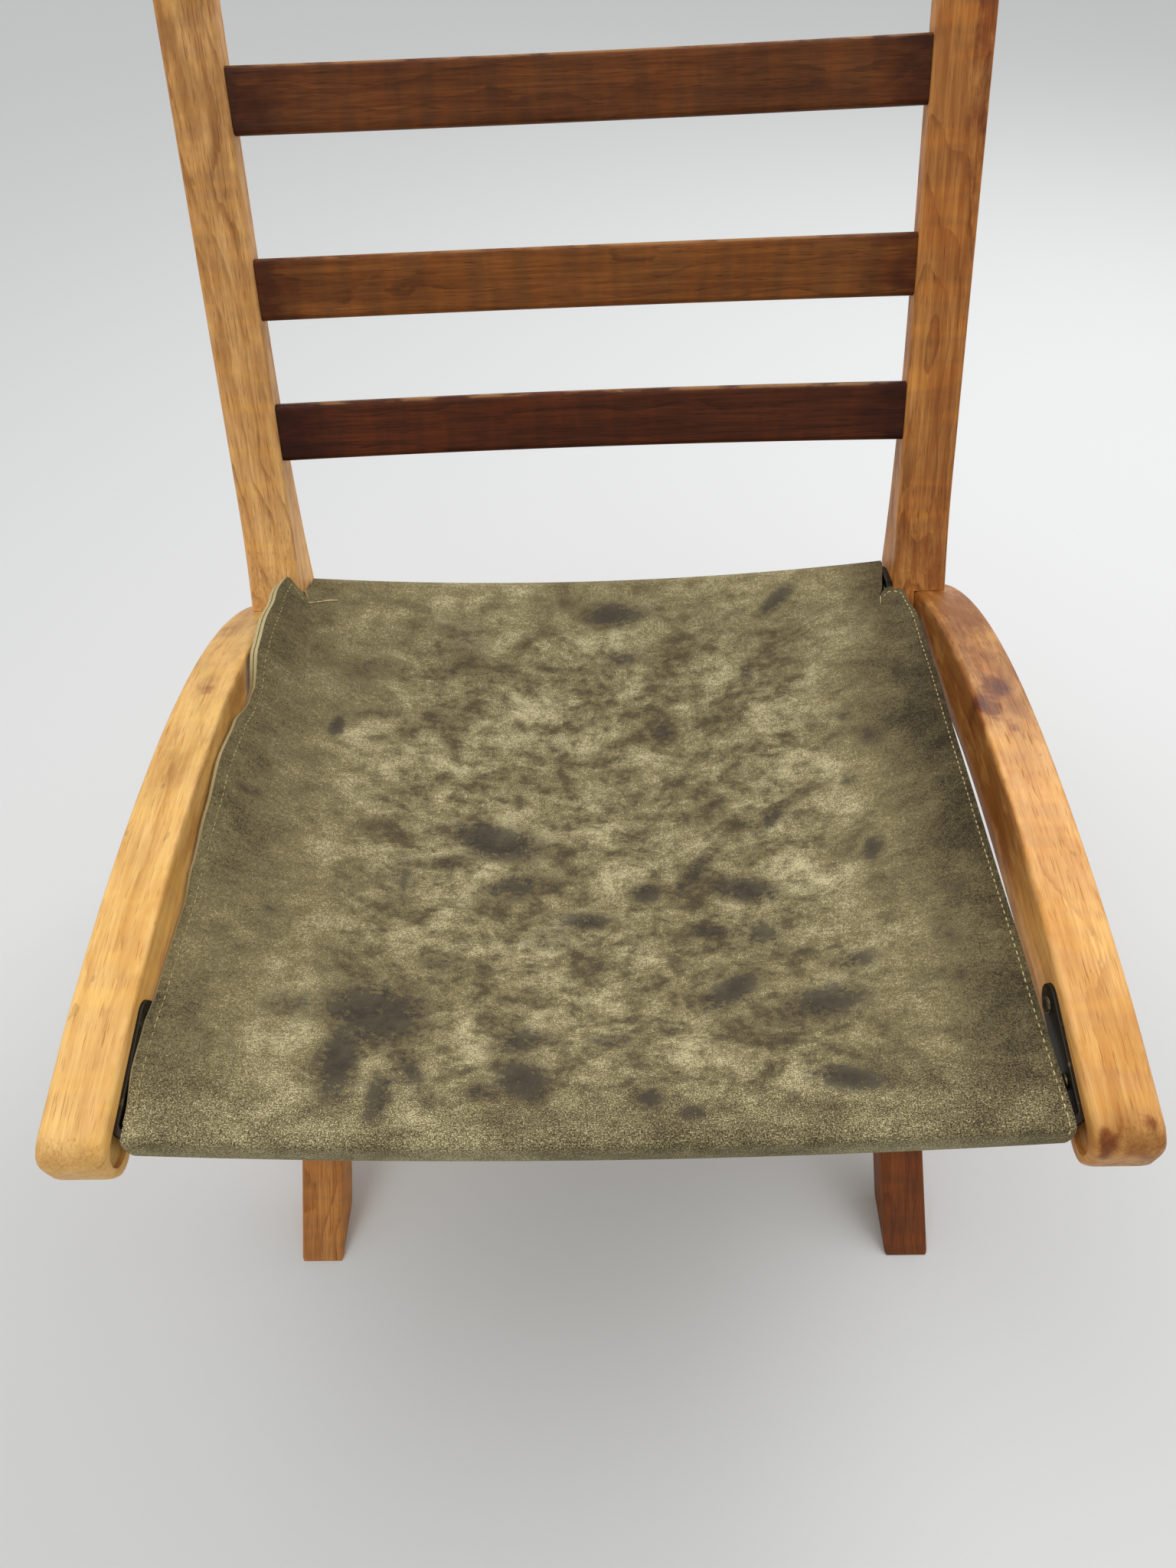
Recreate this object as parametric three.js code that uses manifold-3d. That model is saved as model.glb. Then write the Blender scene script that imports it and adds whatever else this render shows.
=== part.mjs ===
// A ladder-back lounge chair with a suede sling seat, in millimetres.
// X runs across the chair, Y from front to back, Z up. Side outlines are drawn in Y and Z, with Y = 0
// at the front end of the rails, and the finished chair is then centred on its own footprint.

import * as THREE from 'three';
import { mergeVertices } from 'three/addons/utils/BufferGeometryUtils.js';
import Module from 'manifold-3d';

const wasm = await Module();
wasm.setup();

// Clearance between pieces that touch, and the length by which a cutting shape runs past a face
const fitGap = 0.3;
const overrun = 20;

// Widths across the chair
const backSpan = 521;
const postWidth = 44;
const tongueThickness = 17.2;
const railWidth = 40;
const legWidth = 37;

// Side rail: its centre line rises from the nose to a crown, then bends down into the rear leg
const crownSetback = 284.5;
const crownHeight = 440;
const noseDrop = 26;
const noseDepth = 46;
const noseRadius = 17;
const crownDepth = 51;
const kneeDepth = 52;
const footDepth = 38;
const rearBendReach = 275;
const kneeDistance = 200;
const rearLegLean = THREE.MathUtils.degToRad(28);
const railRound = 6;
const crownHandleShare = 0.69;
const kneeHandleShare = 0.34;

// Back post: a thin plank that leans back and flares at the seat
const postBoltShare = 0.557;
const railBoltShare = 0.663;
const postSeatLead = 6.5;
const postSeatRise = 19.3;
const postLength = 522;
const postLean = THREE.MathUtils.degToRad(19);
const postDepth = 22;
const rearFlare = 36;
const rearFlareLength = 280;
const rearFlarePower = 2.4;
const frontFlare = 12;
const frontFlareLength = 110;
const postTopRadius = 9;
const postRound = 2.6;
const tongueLean = THREE.MathUtils.degToRad(9.5);

// Front leg: straight and square, lapped over the post's tongue, with its axis through the rail bolt
const toeSetback = 121;
const soleLength = 57;
const legRound = 2.2;
const legEndMargin = 8;

// Back slats, by the rise of each lower edge along the post
const slatHeight = 46;
const slatThickness = 13;
const slatRound = 5.5;
const slatFrontSetback = 3;
const slatBow = 15;
const slatTenon = 14;
const lowerSlatRise = 140;
const middleSlatRise = 251;
const upperSlatRise = 382.5;

// Steel bars that carry the sling
const barThickness = 5;
const barHeight = 22;
const barBendRadius = 6.5;
const frontBarSetback = 21;
const frontBarSag = 14;
const frontEarLength = 86;
const frontEarSlope = THREE.MathUtils.degToRad(13);
const pocketDepth = 3;
const rearBarBack = 36.5;
const rearBarRise = 3;
const rearBarSag = 13;
const rearEarLength = 40;
const rearEarSlope = THREE.MathUtils.degToRad(9);

// Screws and bolts
const screwShank = 4;
const screwLength = 20;
const screwHead = 8;
const screwHeadHeight = 2.4;
const earScrewInset = 13;
const frontScrewSpacing = 47;
const rearScrewSpacing = 15;
const boltShank = 8;
const boltHead = 20;
const boltHeadHeight = 4.5;
const washerOuter = 18;
const washerThickness = 1.6;
const nutAcrossCorners = 15;
const nutHeight = 7;
const nutDomeHeight = 5;
const nutBoreDepth = 8;
const laceBoltSpacing = 80;

// Seat sling: two sewn layers that run round both bars
const edgeGap = 6;
const panelGap = 11.5;
const layerThickness = 2;
const layerGap = 0.6;
const barSlack = 1.2;
const seatSag = 42;
const edgeSag = 2;
const leftEdgeLift = 24;
const rightEdgeLift = 6;
const edgeLiftWidth = 72;
const mergeLength = 48;
const earClearance = 2;
const notchRun = 3;

// Finishes
const railWood = { color: 0xc8924f, roughness: 0.42, metalness: 0 };
const postWood = { color: 0xb98048, roughness: 0.45, metalness: 0 };
const legWood = { color: 0xa5693f, roughness: 0.5, metalness: 0 };
const slatWood = { color: 0x5f3722, roughness: 0.45, metalness: 0 };
const blackSteel = { color: 0x1c1a18, roughness: 0.4, metalness: 0.9 };
const oliveSuede = { color: 0x6b6446, roughness: 0.95, metalness: 0 };

// Faces across the chair
const postInner = backSpan / 2;
const postOuter = postInner + postWidth;
const tongueOuter = postInner + tongueThickness;
const railInner = tongueOuter + fitGap;
const railOuter = railInner + railWidth;
const legOuter = tongueOuter;
const legInner = legOuter - legWidth;
const legLap = postInner - fitGap;
const slingHalfWidth = railInner - edgeGap;
const panelHalfWidth = postInner - panelGap;

// Solids

function stripped(geometry) {
  const mergeShare = 0.001;
  const copy = geometry.clone();
  copy.deleteAttribute('normal');
  copy.deleteAttribute('uv');
  return mergeVertices(copy, fitGap * mergeShare);
}

// Every triangle turned round
function reversed(geometry) {
  const index = geometry.index;
  for (let i = 0; i < index.count; i += 3) {
    const kept = index.getX(i);
    index.setX(i, index.getX(i + 1));
    index.setX(i + 1, kept);
  }
  return geometry;
}

// Six times the volume inside a closed skin is the sum of its triangles' triple products.
function facesOut(geometry) {
  const position = geometry.attributes.position;
  const index = geometry.index;
  const corner = () => new THREE.Vector3();
  const [a, b, c] = [corner(), corner(), corner()];
  let sum = 0;
  for (let i = 0; i < index.count; i += 3) {
    a.fromBufferAttribute(position, index.getX(i));
    b.fromBufferAttribute(position, index.getX(i + 1));
    c.fromBufferAttribute(position, index.getX(i + 2));
    sum += a.dot(b.cross(c));
  }
  return sum < 0 ? reversed(geometry) : geometry;
}

function toManifold(geometry) {
  const merged = stripped(geometry);
  return new wasm.Manifold(new wasm.Mesh({
    numProp: 3,
    vertProperties: Float32Array.from(merged.attributes.position.array),
    triVerts: Uint32Array.from(merged.index.array),
  }));
}

function fromManifold(solid) {
  const mesh = solid.getMesh();
  const geometry = new THREE.BufferGeometry();
  geometry.setAttribute('position', new THREE.BufferAttribute(Float32Array.from(mesh.vertProperties), 3));
  geometry.setIndex(new THREE.BufferAttribute(Uint32Array.from(mesh.triVerts), 1));
  return geometry;
}

function subtract(geometry, cutters) {
  return fromManifold(cutters.reduce((left, cutter) => left.subtract(toManifold(cutter)), toManifold(geometry)));
}

function union(geometries) {
  const [first, ...others] = geometries.map(toManifold);
  return fromManifold(others.reduce((sum, solid) => sum.add(solid), first));
}

// The same piece for the left side of the chair
function mirrored(geometry) {
  const copy = stripped(geometry);
  copy.scale(-1, 1, 1);
  return reversed(copy);
}

// A closed outline in Y and Z, extruded from one X to another, with its long edges rounded.
function sidePlate(points, fromX, toX, round = 0) {
  const geometry = new THREE.ExtrudeGeometry(new THREE.Shape(points), {
    depth: toX - fromX - 2 * round,
    bevelEnabled: round > 0,
    bevelSize: round,
    bevelThickness: round,
    bevelOffset: -round,
    bevelSegments: 3,
  });
  geometry.translate(0, 0, fromX + round);
  geometry.applyMatrix4(new THREE.Matrix4().makeBasis(
    new THREE.Vector3(0, 1, 0),
    new THREE.Vector3(0, 0, 1),
    new THREE.Vector3(1, 0, 0),
  ));
  return stripped(geometry);
}

// A closed skin through equal rings of points, with a flat fan at each end.
function loft(rings) {
  const count = rings[0].length;
  const triangles = [];
  for (let r = 0; r < rings.length - 1; r += 1) {
    for (let i = 0; i < count; i += 1) {
      const a = r * count + i;
      const b = r * count + ((i + 1) % count);
      triangles.push(a, b, b + count, a, b + count, a + count);
    }
  }
  const last = (rings.length - 1) * count;
  for (let i = 1; i < count - 1; i += 1) {
    triangles.push(0, i + 1, i, last, last + i, last + i + 1);
  }
  const geometry = new THREE.BufferGeometry().setFromPoints(rings.flat());
  geometry.setIndex(triangles);
  return facesOut(geometry);
}

// A turned piece along X: each step of its profile is a distance along X and a radius.
function turned(profile, centre, sides = 16) {
  return loft(profile.map(([along, radius]) => Array.from({ length: sides }, (_, i) => {
    const angle = (i / sides) * 2 * Math.PI;
    return new THREE.Vector3(along, centre.x + radius * Math.cos(angle), centre.y + radius * Math.sin(angle));
  })));
}

// A domed end as profile steps, from its rim at one X to its crown at another.
function dome(fromX, toX, radius, steps = 3) {
  return Array.from({ length: steps + 1 }, (_, i) => {
    const turn = ((i / (steps + 0.5)) * Math.PI) / 2;
    return [fromX + (toX - fromX) * Math.sin(turn), radius * Math.cos(turn)];
  });
}

// A rounded rectangle, anticlockwise, centred on zero.
function roundedRectangle(width, height, radius, steps = 3) {
  return [0, 1, 2, 3].flatMap((quarter) => Array.from({ length: steps + 1 }, (_, i) => {
    const angle = (quarter + i / steps) * (Math.PI / 2);
    const middle = (quarter + 0.5) * (Math.PI / 2);
    return new THREE.Vector2(
      Math.sign(Math.cos(middle)) * (width / 2 - radius) + radius * Math.cos(angle),
      Math.sign(Math.sin(middle)) * (height / 2 - radius) + radius * Math.sin(angle),
    );
  }));
}

// Side rail

const crown = new THREE.Vector2(crownSetback, crownHeight);
const rearDirection = new THREE.Vector2(Math.sin(rearLegLean), -Math.cos(rearLegLean));
const rearBend = new THREE.Vector2(crown.x + rearBendReach, crown.y);
const knee = rearBend.clone().addScaledVector(rearDirection, kneeDistance);
const rearFoot = knee.clone().addScaledVector(rearDirection, knee.y / Math.cos(rearLegLean));
const rearCurve = new THREE.CubicBezierCurve(
  crown,
  crown.clone().lerp(rearBend, crownHandleShare),
  rearBend.clone().lerp(knee, kneeHandleShare),
  knee,
);

// In front of the crown the centre line is a parabola, and behind it a curve that ends in the straight leg.
function railSpine() {
  const frontSteps = 7;
  const rearSteps = 14;
  const run = crown.x - noseRadius;
  const front = Array.from({ length: frontSteps }, (_, i) => {
    const back = 1 - i / frontSteps;
    return {
      point: new THREE.Vector2(crown.x - run * back, crown.y - noseDrop * back * back),
      slope: Math.atan((2 * noseDrop * back) / run),
      depth: THREE.MathUtils.lerp(crownDepth, noseDepth, back * back),
    };
  });
  const rear = Array.from({ length: rearSteps + 1 }, (_, i) => {
    const tangent = rearCurve.getTangent(i / rearSteps);
    return {
      point: rearCurve.getPoint(i / rearSteps),
      slope: Math.atan2(tangent.y, tangent.x),
      depth: THREE.MathUtils.lerp(crownDepth, kneeDepth, i / rearSteps),
    };
  });
  return [...front, ...rear];
}

// The rail's top edge (side 1) or bottom edge (side -1), `grow` outside the real one, down to the floor.
function railEdge(side, grow = 0) {
  const edge = railSpine().map(({ point, slope, depth }) => {
    const reach = side * (depth / 2 + grow);
    return new THREE.Vector2(point.x - reach * Math.sin(slope), point.y + reach * Math.cos(slope));
  });
  const across = new THREE.Vector2(Math.cos(rearLegLean), Math.sin(rearLegLean));
  const atFoot = rearFoot.clone().addScaledVector(across, side * (footDepth / 2 + grow));
  const last = edge[edge.length - 1];
  edge.push(last.clone().lerp(atFoot, last.y / (last.y - atFoot.y)));
  return edge;
}

function railOutline() {
  const top = railEdge(1);
  const bottom = railEdge(-1);
  const { slope } = railSpine()[0];
  const along = new THREE.Vector2(Math.cos(slope), Math.sin(slope));
  const up = new THREE.Vector2(-Math.sin(slope), Math.cos(slope));
  const steps = 5;
  const corner = (start, side) => Array.from({ length: steps }, (_, i) => {
    const turn = ((i + 1) / steps) * (Math.PI / 2);
    return start.clone()
      .addScaledVector(up, side * noseRadius * (Math.cos(turn) - 1))
      .addScaledVector(along, -noseRadius * Math.sin(turn));
  });
  const upper = corner(top[0], 1);
  const lower = corner(bottom[0], -1).reverse();
  return [...lower, ...bottom, ...top.reverse(), ...upper];
}

// The joint of rail, post and leg: two bolts on the rail's centre line, and the post's seat by the first
const postBolt = rearCurve.getPoint(postBoltShare);
const railBolt = rearCurve.getPoint(railBoltShare);
const postSeat = new THREE.Vector2(postBolt.x - postSeatLead, postBolt.y + postSeatRise);

// Back post

// A place on the post: `rise` along it from the seat, `back` from its straight front face.
function postPlace(rise, back) {
  return new THREE.Vector2(
    postSeat.x + rise * Math.sin(postLean) + back * Math.cos(postLean),
    postSeat.y + rise * Math.cos(postLean) - back * Math.sin(postLean),
  );
}

function postFront(rise) {
  return -frontFlare * Math.max(0, 1 - rise / frontFlareLength) ** 2;
}

function postRear(rise) {
  return postDepth + rearFlare * Math.max(0, 1 - rise / rearFlareLength) ** rearFlarePower;
}

const sole = new THREE.Vector2(toeSetback + soleLength / 2, 0);
const legLean = Math.atan2(railBolt.x - sole.x, railBolt.y);
const legDepth = soleLength * Math.cos(legLean);
const legBoltReach = sole.distanceTo(railBolt);
const legReach = legBoltReach + legEndMargin;

// A place on the front leg: `along` its axis from the floor, `off` above that axis.
function legPlace(along, off) {
  return new THREE.Vector2(
    sole.x + along * Math.sin(legLean) - off * Math.cos(legLean),
    along * Math.cos(legLean) + off * Math.sin(legLean),
  );
}

const tongueTop = postPlace(0, postFront(0));

// The tongue's front edge runs straight down from the seat to the leg's rear face.
function tongueFoot() {
  const fall = Math.tan(tongueLean);
  const reach = tongueTop.x - tongueTop.y * fall - toeSetback - soleLength;
  const height = reach / (Math.tan(legLean) - fall);
  return new THREE.Vector2(toeSetback + soleLength + height * Math.tan(legLean), height);
}

function postOutline() {
  const flareSteps = 8;
  const topSteps = 4;
  const front = Array.from({ length: flareSteps + 1 }, (_, i) => {
    const rise = (frontFlareLength * i) / flareSteps;
    return postPlace(rise, postFront(rise));
  });
  const rear = Array.from({ length: flareSteps + 1 }, (_, i) => {
    const rise = rearFlareLength * (1 - i / flareSteps);
    return postPlace(rise, postRear(rise));
  });
  const corner = Array.from({ length: topSteps + 1 }, (_, i) => {
    const turn = ((i / topSteps) * Math.PI) / 2;
    return { rise: postLength + postTopRadius * (Math.sin(turn) - 1), back: postTopRadius * (1 - Math.cos(turn)) };
  });
  const topFront = corner.map(({ rise, back }) => postPlace(rise, back));
  const topRear = corner.map(({ rise, back }) => postPlace(rise, postDepth - back)).reverse();
  const rearFootOfTongue = legPlace(legReach + legDepth / 2, -legDepth / 2);
  return [tongueFoot(), ...front, ...topFront, ...topRear, ...rear, rearFootOfTongue].reverse();
}

// All that lies under the rail's top edge, which the outer part of the post keeps clear of
function underRailTop() {
  const edge = railEdge(1, fitGap);
  return [new THREE.Vector2(edge[0].x, 0), ...edge.reverse()];
}

function slatRing(x, rise, grow) {
  const share = Math.min(1, Math.abs(x) / postInner);
  const middle = slatFrontSetback + slatThickness / 2 + slatBow * (1 - share * share);
  const width = slatThickness + 2 * grow;
  return roundedRectangle(width, slatHeight + 2 * grow, slatRound + grow).map((p) => {
    const place = postPlace(rise + slatHeight / 2 + p.y, middle + p.x);
    return new THREE.Vector3(x, place.x, place.y);
  });
}

function slatGeometry(rise) {
  const steps = 14;
  const places = Array.from({ length: steps + 1 }, (_, i) => postInner * ((2 * i) / steps - 1));
  const reach = postInner + slatTenon;
  return loft([-reach, ...places, reach].map((x) => slatRing(x, rise, 0)));
}

function mortise(rise) {
  const ring = slatRing(postInner, rise, fitGap);
  return loft([postInner - overrun, postInner + slatTenon + fitGap].map((x) => (
    ring.map((p) => new THREE.Vector3(x, p.y, p.z))
  )));
}

// Bars: flat steel on edge, with a bent ear at each end that points to `turn` along Y.

const earEndSteps = 5;

const frontBar = {
  earX: railInner + pocketDepth - fitGap - barThickness / 2,
  setback: frontBarSetback,
  height: crownHeight - noseDrop,
  sag: frontBarSag,
  slope: frontEarSlope,
  length: frontEarLength,
  turn: 1,
  screws: [frontEarLength - earScrewInset, frontEarLength - earScrewInset - frontScrewSpacing],
};

const rearBar = {
  earX: postInner - fitGap - barThickness / 2,
  setback: postSeat.x + rearBarBack,
  height: postSeat.y + rearBarRise,
  sag: rearBarSag,
  slope: rearEarSlope,
  length: rearEarLength,
  turn: -1,
  screws: [rearEarLength - earScrewInset, rearEarLength - earScrewInset - rearScrewSpacing],
};

function barCentreHeight(bar, x) {
  const share = Math.min(1, Math.abs(x) / bar.earX);
  return bar.height - bar.sag * (1 - share * share);
}

// A place on a bar's side view: `along` its ear from the bar, `up` from its middle.
function barPlace(bar, along, up, x = bar.earX) {
  return new THREE.Vector2(
    bar.setback + bar.turn * (along * Math.cos(bar.slope) - up * Math.sin(bar.slope)),
    barCentreHeight(bar, x) + along * Math.sin(bar.slope) + up * Math.cos(bar.slope),
  );
}

// One cross-section: `out` is the way from the bar's inner face to its outer one, across X and along the ear.
function barRing(bar, x, along, out, half) {
  const centreX = Math.min(x, bar.earX);
  return [[-1, -1], [1, -1], [1, 1], [-1, 1]].map(([through, up]) => {
    const side = barPlace(bar, along + (through * out.y * barThickness) / 2, up * half, centreX);
    return new THREE.Vector3(x + (through * out.x * barThickness) / 2, side.x, side.y);
  });
}

function barGeometry(bar) {
  const half = barHeight / 2;
  const straight = bar.earX - barBendRadius;
  const spanSteps = 6;
  const bendSteps = 4;
  const rings = [];
  for (let i = 0; i <= spanSteps; i += 1) {
    rings.push(barRing(bar, (straight * i) / spanSteps, 0, new THREE.Vector2(0, -1), half));
  }
  for (let i = 1; i <= bendSteps; i += 1) {
    const turn = ((i / bendSteps) * Math.PI) / 2;
    const x = straight + barBendRadius * Math.sin(turn);
    const along = barBendRadius * (1 - Math.cos(turn));
    rings.push(barRing(bar, x, along, new THREE.Vector2(Math.sin(turn), -Math.cos(turn)), half));
  }
  for (let i = 0; i < earEndSteps; i += 1) {
    const turn = ((i / earEndSteps) * Math.PI) / 2;
    const along = bar.length - half + half * Math.sin(turn);
    rings.push(barRing(bar, bar.earX, along, new THREE.Vector2(1, 0), half * Math.cos(turn)));
  }
  const left = rings.slice(1).reverse().map((ring) => (
    ring.map((p) => new THREE.Vector3(-p.x, p.y, p.z))
  ));
  return loft([...left, ...rings]);
}

// The routed pocket that takes a front ear: a slot with round ends, which runs on past the bar.
function earPocket(bar) {
  const half = barHeight / 2 + fitGap;
  const steps = 2 * earEndSteps;
  const end = (centre, facing) => Array.from({ length: steps + 1 }, (_, i) => {
    const angle = (i / steps - 0.5) * Math.PI;
    return barPlace(bar, centre + facing * half * Math.cos(angle), facing * half * Math.sin(angle));
  });
  const outline = [...end(bar.length - barHeight / 2, 1), ...end(-barThickness / 2, -1)];
  return sidePlate(outline, railInner - overrun, railInner + pocketDepth);
}

// Screws and bolts

function screwHole(bar, along, toX) {
  const radius = screwShank / 2 + fitGap;
  const fromX = bar.earX - barThickness;
  return turned([[fromX, radius], [toX, radius]], barPlace(bar, along, 0), 12);
}

function screwGeometry(bar, along) {
  const face = bar.earX - barThickness / 2 - fitGap;
  const shank = screwShank / 2;
  return turned([
    ...dome(face, face - screwHeadHeight, screwHead / 2).reverse(),
    [face, shank],
    [face + screwLength - screwShank, shank],
    [face + screwLength, shank / 4],
  ], barPlace(bar, along, 0), 12);
}

const frameBolts = [
  { centre: postBolt, inner: postInner, outer: railOuter },
  { centre: legPlace(legBoltReach - laceBoltSpacing, 0), inner: legInner, outer: tongueOuter },
  { centre: railBolt, inner: legInner, outer: railOuter },
];

function boltHole({ centre }) {
  const radius = boltShank / 2 + fitGap;
  return turned([[legInner - overrun, radius], [railOuter + overrun, radius]], centre);
}

function boltTip(bolt) {
  return bolt.inner - 2 * fitGap - washerThickness - nutBoreDepth + fitGap;
}

function boltGeometry(bolt) {
  const face = bolt.outer + fitGap;
  const radius = boltShank / 2;
  return turned([
    [boltTip(bolt), radius],
    [face, radius],
    ...dome(face, face + boltHeadHeight, boltHead / 2),
  ], bolt.centre);
}

function washerGeometry(bolt) {
  const face = bolt.inner - fitGap;
  const radius = washerOuter / 2;
  const disc = turned([[face - washerThickness, radius], [face, radius]], bolt.centre);
  return subtract(disc, [boltHole(bolt)]);
}

function nutGeometry(bolt) {
  const face = bolt.inner - 2 * fitGap - washerThickness;
  const corner = nutAcrossCorners / 2;
  const flat = corner * Math.cos(Math.PI / 6);
  const top = face - nutHeight;
  const hexagon = turned([[top, corner], [face, corner]], bolt.centre, 6);
  const cap = turned([[face - fitGap, flat / 2], ...dome(top + fitGap, top - nutDomeHeight, flat)], bolt.centre);
  const radius = boltShank / 2 + fitGap;
  const bore = turned([[face - nutBoreDepth, radius], [face + overrun, radius]], bolt.centre);
  return subtract(union([hexagon, cap]), [bore]);
}

// Seat sling

const notchSetback = tongueTop.x - earClearance;
const liftRampShare = 0.2;
const liftFallShare = 0.11;

function smooth(share) {
  const held = Math.min(1, Math.max(0, share));
  return held * held * (3 - 2 * held);
}

// Half the sling's width at a setback: the panel behind the notch is narrower, to pass between the posts.
function halfWidthAt(setback) {
  const past = smooth((setback - notchSetback + notchRun) / notchRun);
  return THREE.MathUtils.lerp(slingHalfWidth, panelHalfWidth, past);
}

// The bend of a layer round one corner of a bar, as places at `reach` from that corner.
function wrap(bar, x, along, up, reach, fromTurn, toTurn) {
  const steps = 2;
  return Array.from({ length: steps + 1 }, (_, i) => {
    const angle = THREE.MathUtils.lerp(fromTurn, toTurn, i / steps) * (Math.PI / 2);
    return barPlace(bar, along + reach * Math.cos(angle), up + reach * Math.sin(angle), x);
  });
}

// The part of a layer that runs round a bar, from under it, round its far side, to above it. Quarter turns
// are counted from the way the ear points.
function loopRound(bar, x, reach) {
  const through = barThickness / 2;
  const half = barHeight / 2;
  return [
    ...wrap(bar, x, through, -half, reach, -0.7, -1),
    ...wrap(bar, x, -through, -half, reach, -1, -2),
    ...wrap(bar, x, -through, half, reach, -2, -3),
    ...wrap(bar, x, through, half, reach, -3, -3.4),
  ];
}

// One layer's face as a closed ring round both bars, `out` outside the middle of the suede. Its top sags
// between the bars, most in the middle of the seat, and its side edges lift again.
function slingRing(acrossShare, out) {
  const steps = 12;
  const reach = barSlack + layerThickness / 2 + out;
  const place = (side, x) => new THREE.Vector3(x, side.x, side.y);
  const ring = [];
  const x = acrossShare * slingHalfWidth;
  const front = loopRound(frontBar, x, reach);
  const rearX = acrossShare * panelHalfWidth;
  const rear = loopRound(rearBar, rearX, reach);
  front.forEach((p) => ring.push(place(p, x)));
  const from = front[front.length - 1];
  const to = rear[rear.length - 1];
  const across = Math.abs(acrossShare);
  const sag = edgeSag + (seatSag - edgeSag) * (1 - across ** 2.4);
  const edgeLift = acrossShare < 0 ? leftEdgeLift : rightEdgeLift;
  const curl = Math.max(0, 1 - ((1 - across) * slingHalfWidth) / edgeLiftWidth) ** 2;
  const top = (share) => {
    const ends = from.clone().lerp(to, share);
    const lift = edgeLift * curl * smooth(share / liftRampShare) * smooth((1 - share) / liftFallShare);
    return new THREE.Vector2(ends.x, ends.y - 4 * sag * share * (1 - share) + lift);
  };
  const shares = spanShares(steps, from.x, to.x);
  shares.forEach((share) => {
    const p = top(share);
    ring.push(place(p, acrossShare * halfWidthAt(p.x)));
  });
  rear.reverse().forEach((p) => ring.push(place(p, rearX)));
  const under = layerThickness + layerGap + 2 * out;
  const rearUnder = rear[rear.length - 1];
  const frontUnder = front[0];
  shares.slice().reverse().forEach((share) => {
    const p = top(share);
    const fromFront = Math.max(0, 1 - (p.x - from.x) / mergeLength) ** 2;
    const fromRear = Math.max(0, 1 - (to.x - p.x) / mergeLength) ** 2;
    const open = fromFront * (from.y - frontUnder.y - under) + fromRear * (to.y - rearUnder.y - under);
    ring.push(place(new THREE.Vector2(p.x, p.y - under - open), acrossShare * halfWidthAt(p.x)));
  });
  return ring;
}

// Places along the seat as shares of its run, closer where the layers part and at the notch.
function spanShares(steps, fromY, toY) {
  const run = toY - fromY;
  const notch = (notchSetback - fromY) / run;
  const even = Array.from({ length: steps }, (_, i) => ((i + 0.5) / steps) * (notch - mergeLength / run / 4));
  return [...even, notch - notchRun / run, notch, (notch + 1) / 2];
}

function slingGeometry() {
  const columnShares = [-1, -0.93, -0.82, -0.62, -0.32, 0, 0.32, 0.62, 0.82, 0.93, 1];
  const outer = columnShares.map((share) => slingRing(share, layerThickness / 2));
  const inner = columnShares.map((share) => slingRing(share, -layerThickness / 2));
  const count = outer[0].length;
  const last = columnShares.length - 1;
  const points = [...outer.flat(), ...inner.flat()];
  const offset = outer.flat().length;
  const triangles = [];
  const quad = (a, b, c, d) => triangles.push(a, b, c, a, c, d);
  for (let i = 0; i < count; i += 1) {
    const next = (i + 1) % count;
    for (let c = 0; c < last; c += 1) {
      const here = c * count;
      const there = (c + 1) * count;
      quad(here + i, here + next, there + next, there + i);
      quad(offset + here + next, offset + here + i, offset + there + i, offset + there + next);
    }
    quad(offset + i, offset + next, next, i);
    const end = last * count;
    quad(end + i, end + next, offset + end + next, offset + end + i);
  }
  const geometry = new THREE.BufferGeometry().setFromPoints(points);
  geometry.setIndex(triangles);
  return facesOut(geometry);
}

// Assembly

const chair = new THREE.Group();

function addPiece(name, geometry, finish) {
  const mesh = new THREE.Mesh(geometry, new THREE.MeshStandardMaterial(finish));
  mesh.name = name;
  chair.add(mesh);
}

function addPair(name, geometry, finish) {
  addPiece(`${name}_right`, geometry, finish);
  addPiece(`${name}_left`, mirrored(geometry), finish);
}

function railGeometry() {
  const boltHoles = frameBolts.filter(({ outer }) => outer === railOuter).map(boltHole);
  const screwHoles = frontBar.screws.map((along) => screwHole(frontBar, along, frontBar.earX + screwLength));
  return subtract(sidePlate(railOutline(), railInner, railOuter, railRound), [
    earPocket(frontBar),
    ...boltHoles,
    ...screwHoles,
  ]);
}

function postGeometry() {
  const slatRises = [lowerSlatRise, middleSlatRise, upperSlatRise];
  return subtract(sidePlate(postOutline(), postInner, postOuter, postRound), [
    sidePlate(underRailTop(), tongueOuter, postOuter + overrun),
    ...slatRises.map(mortise),
    ...frameBolts.map(boltHole),
    ...rearBar.screws.map((along) => screwHole(rearBar, along, rearBar.earX + screwLength)),
  ]);
}

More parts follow.
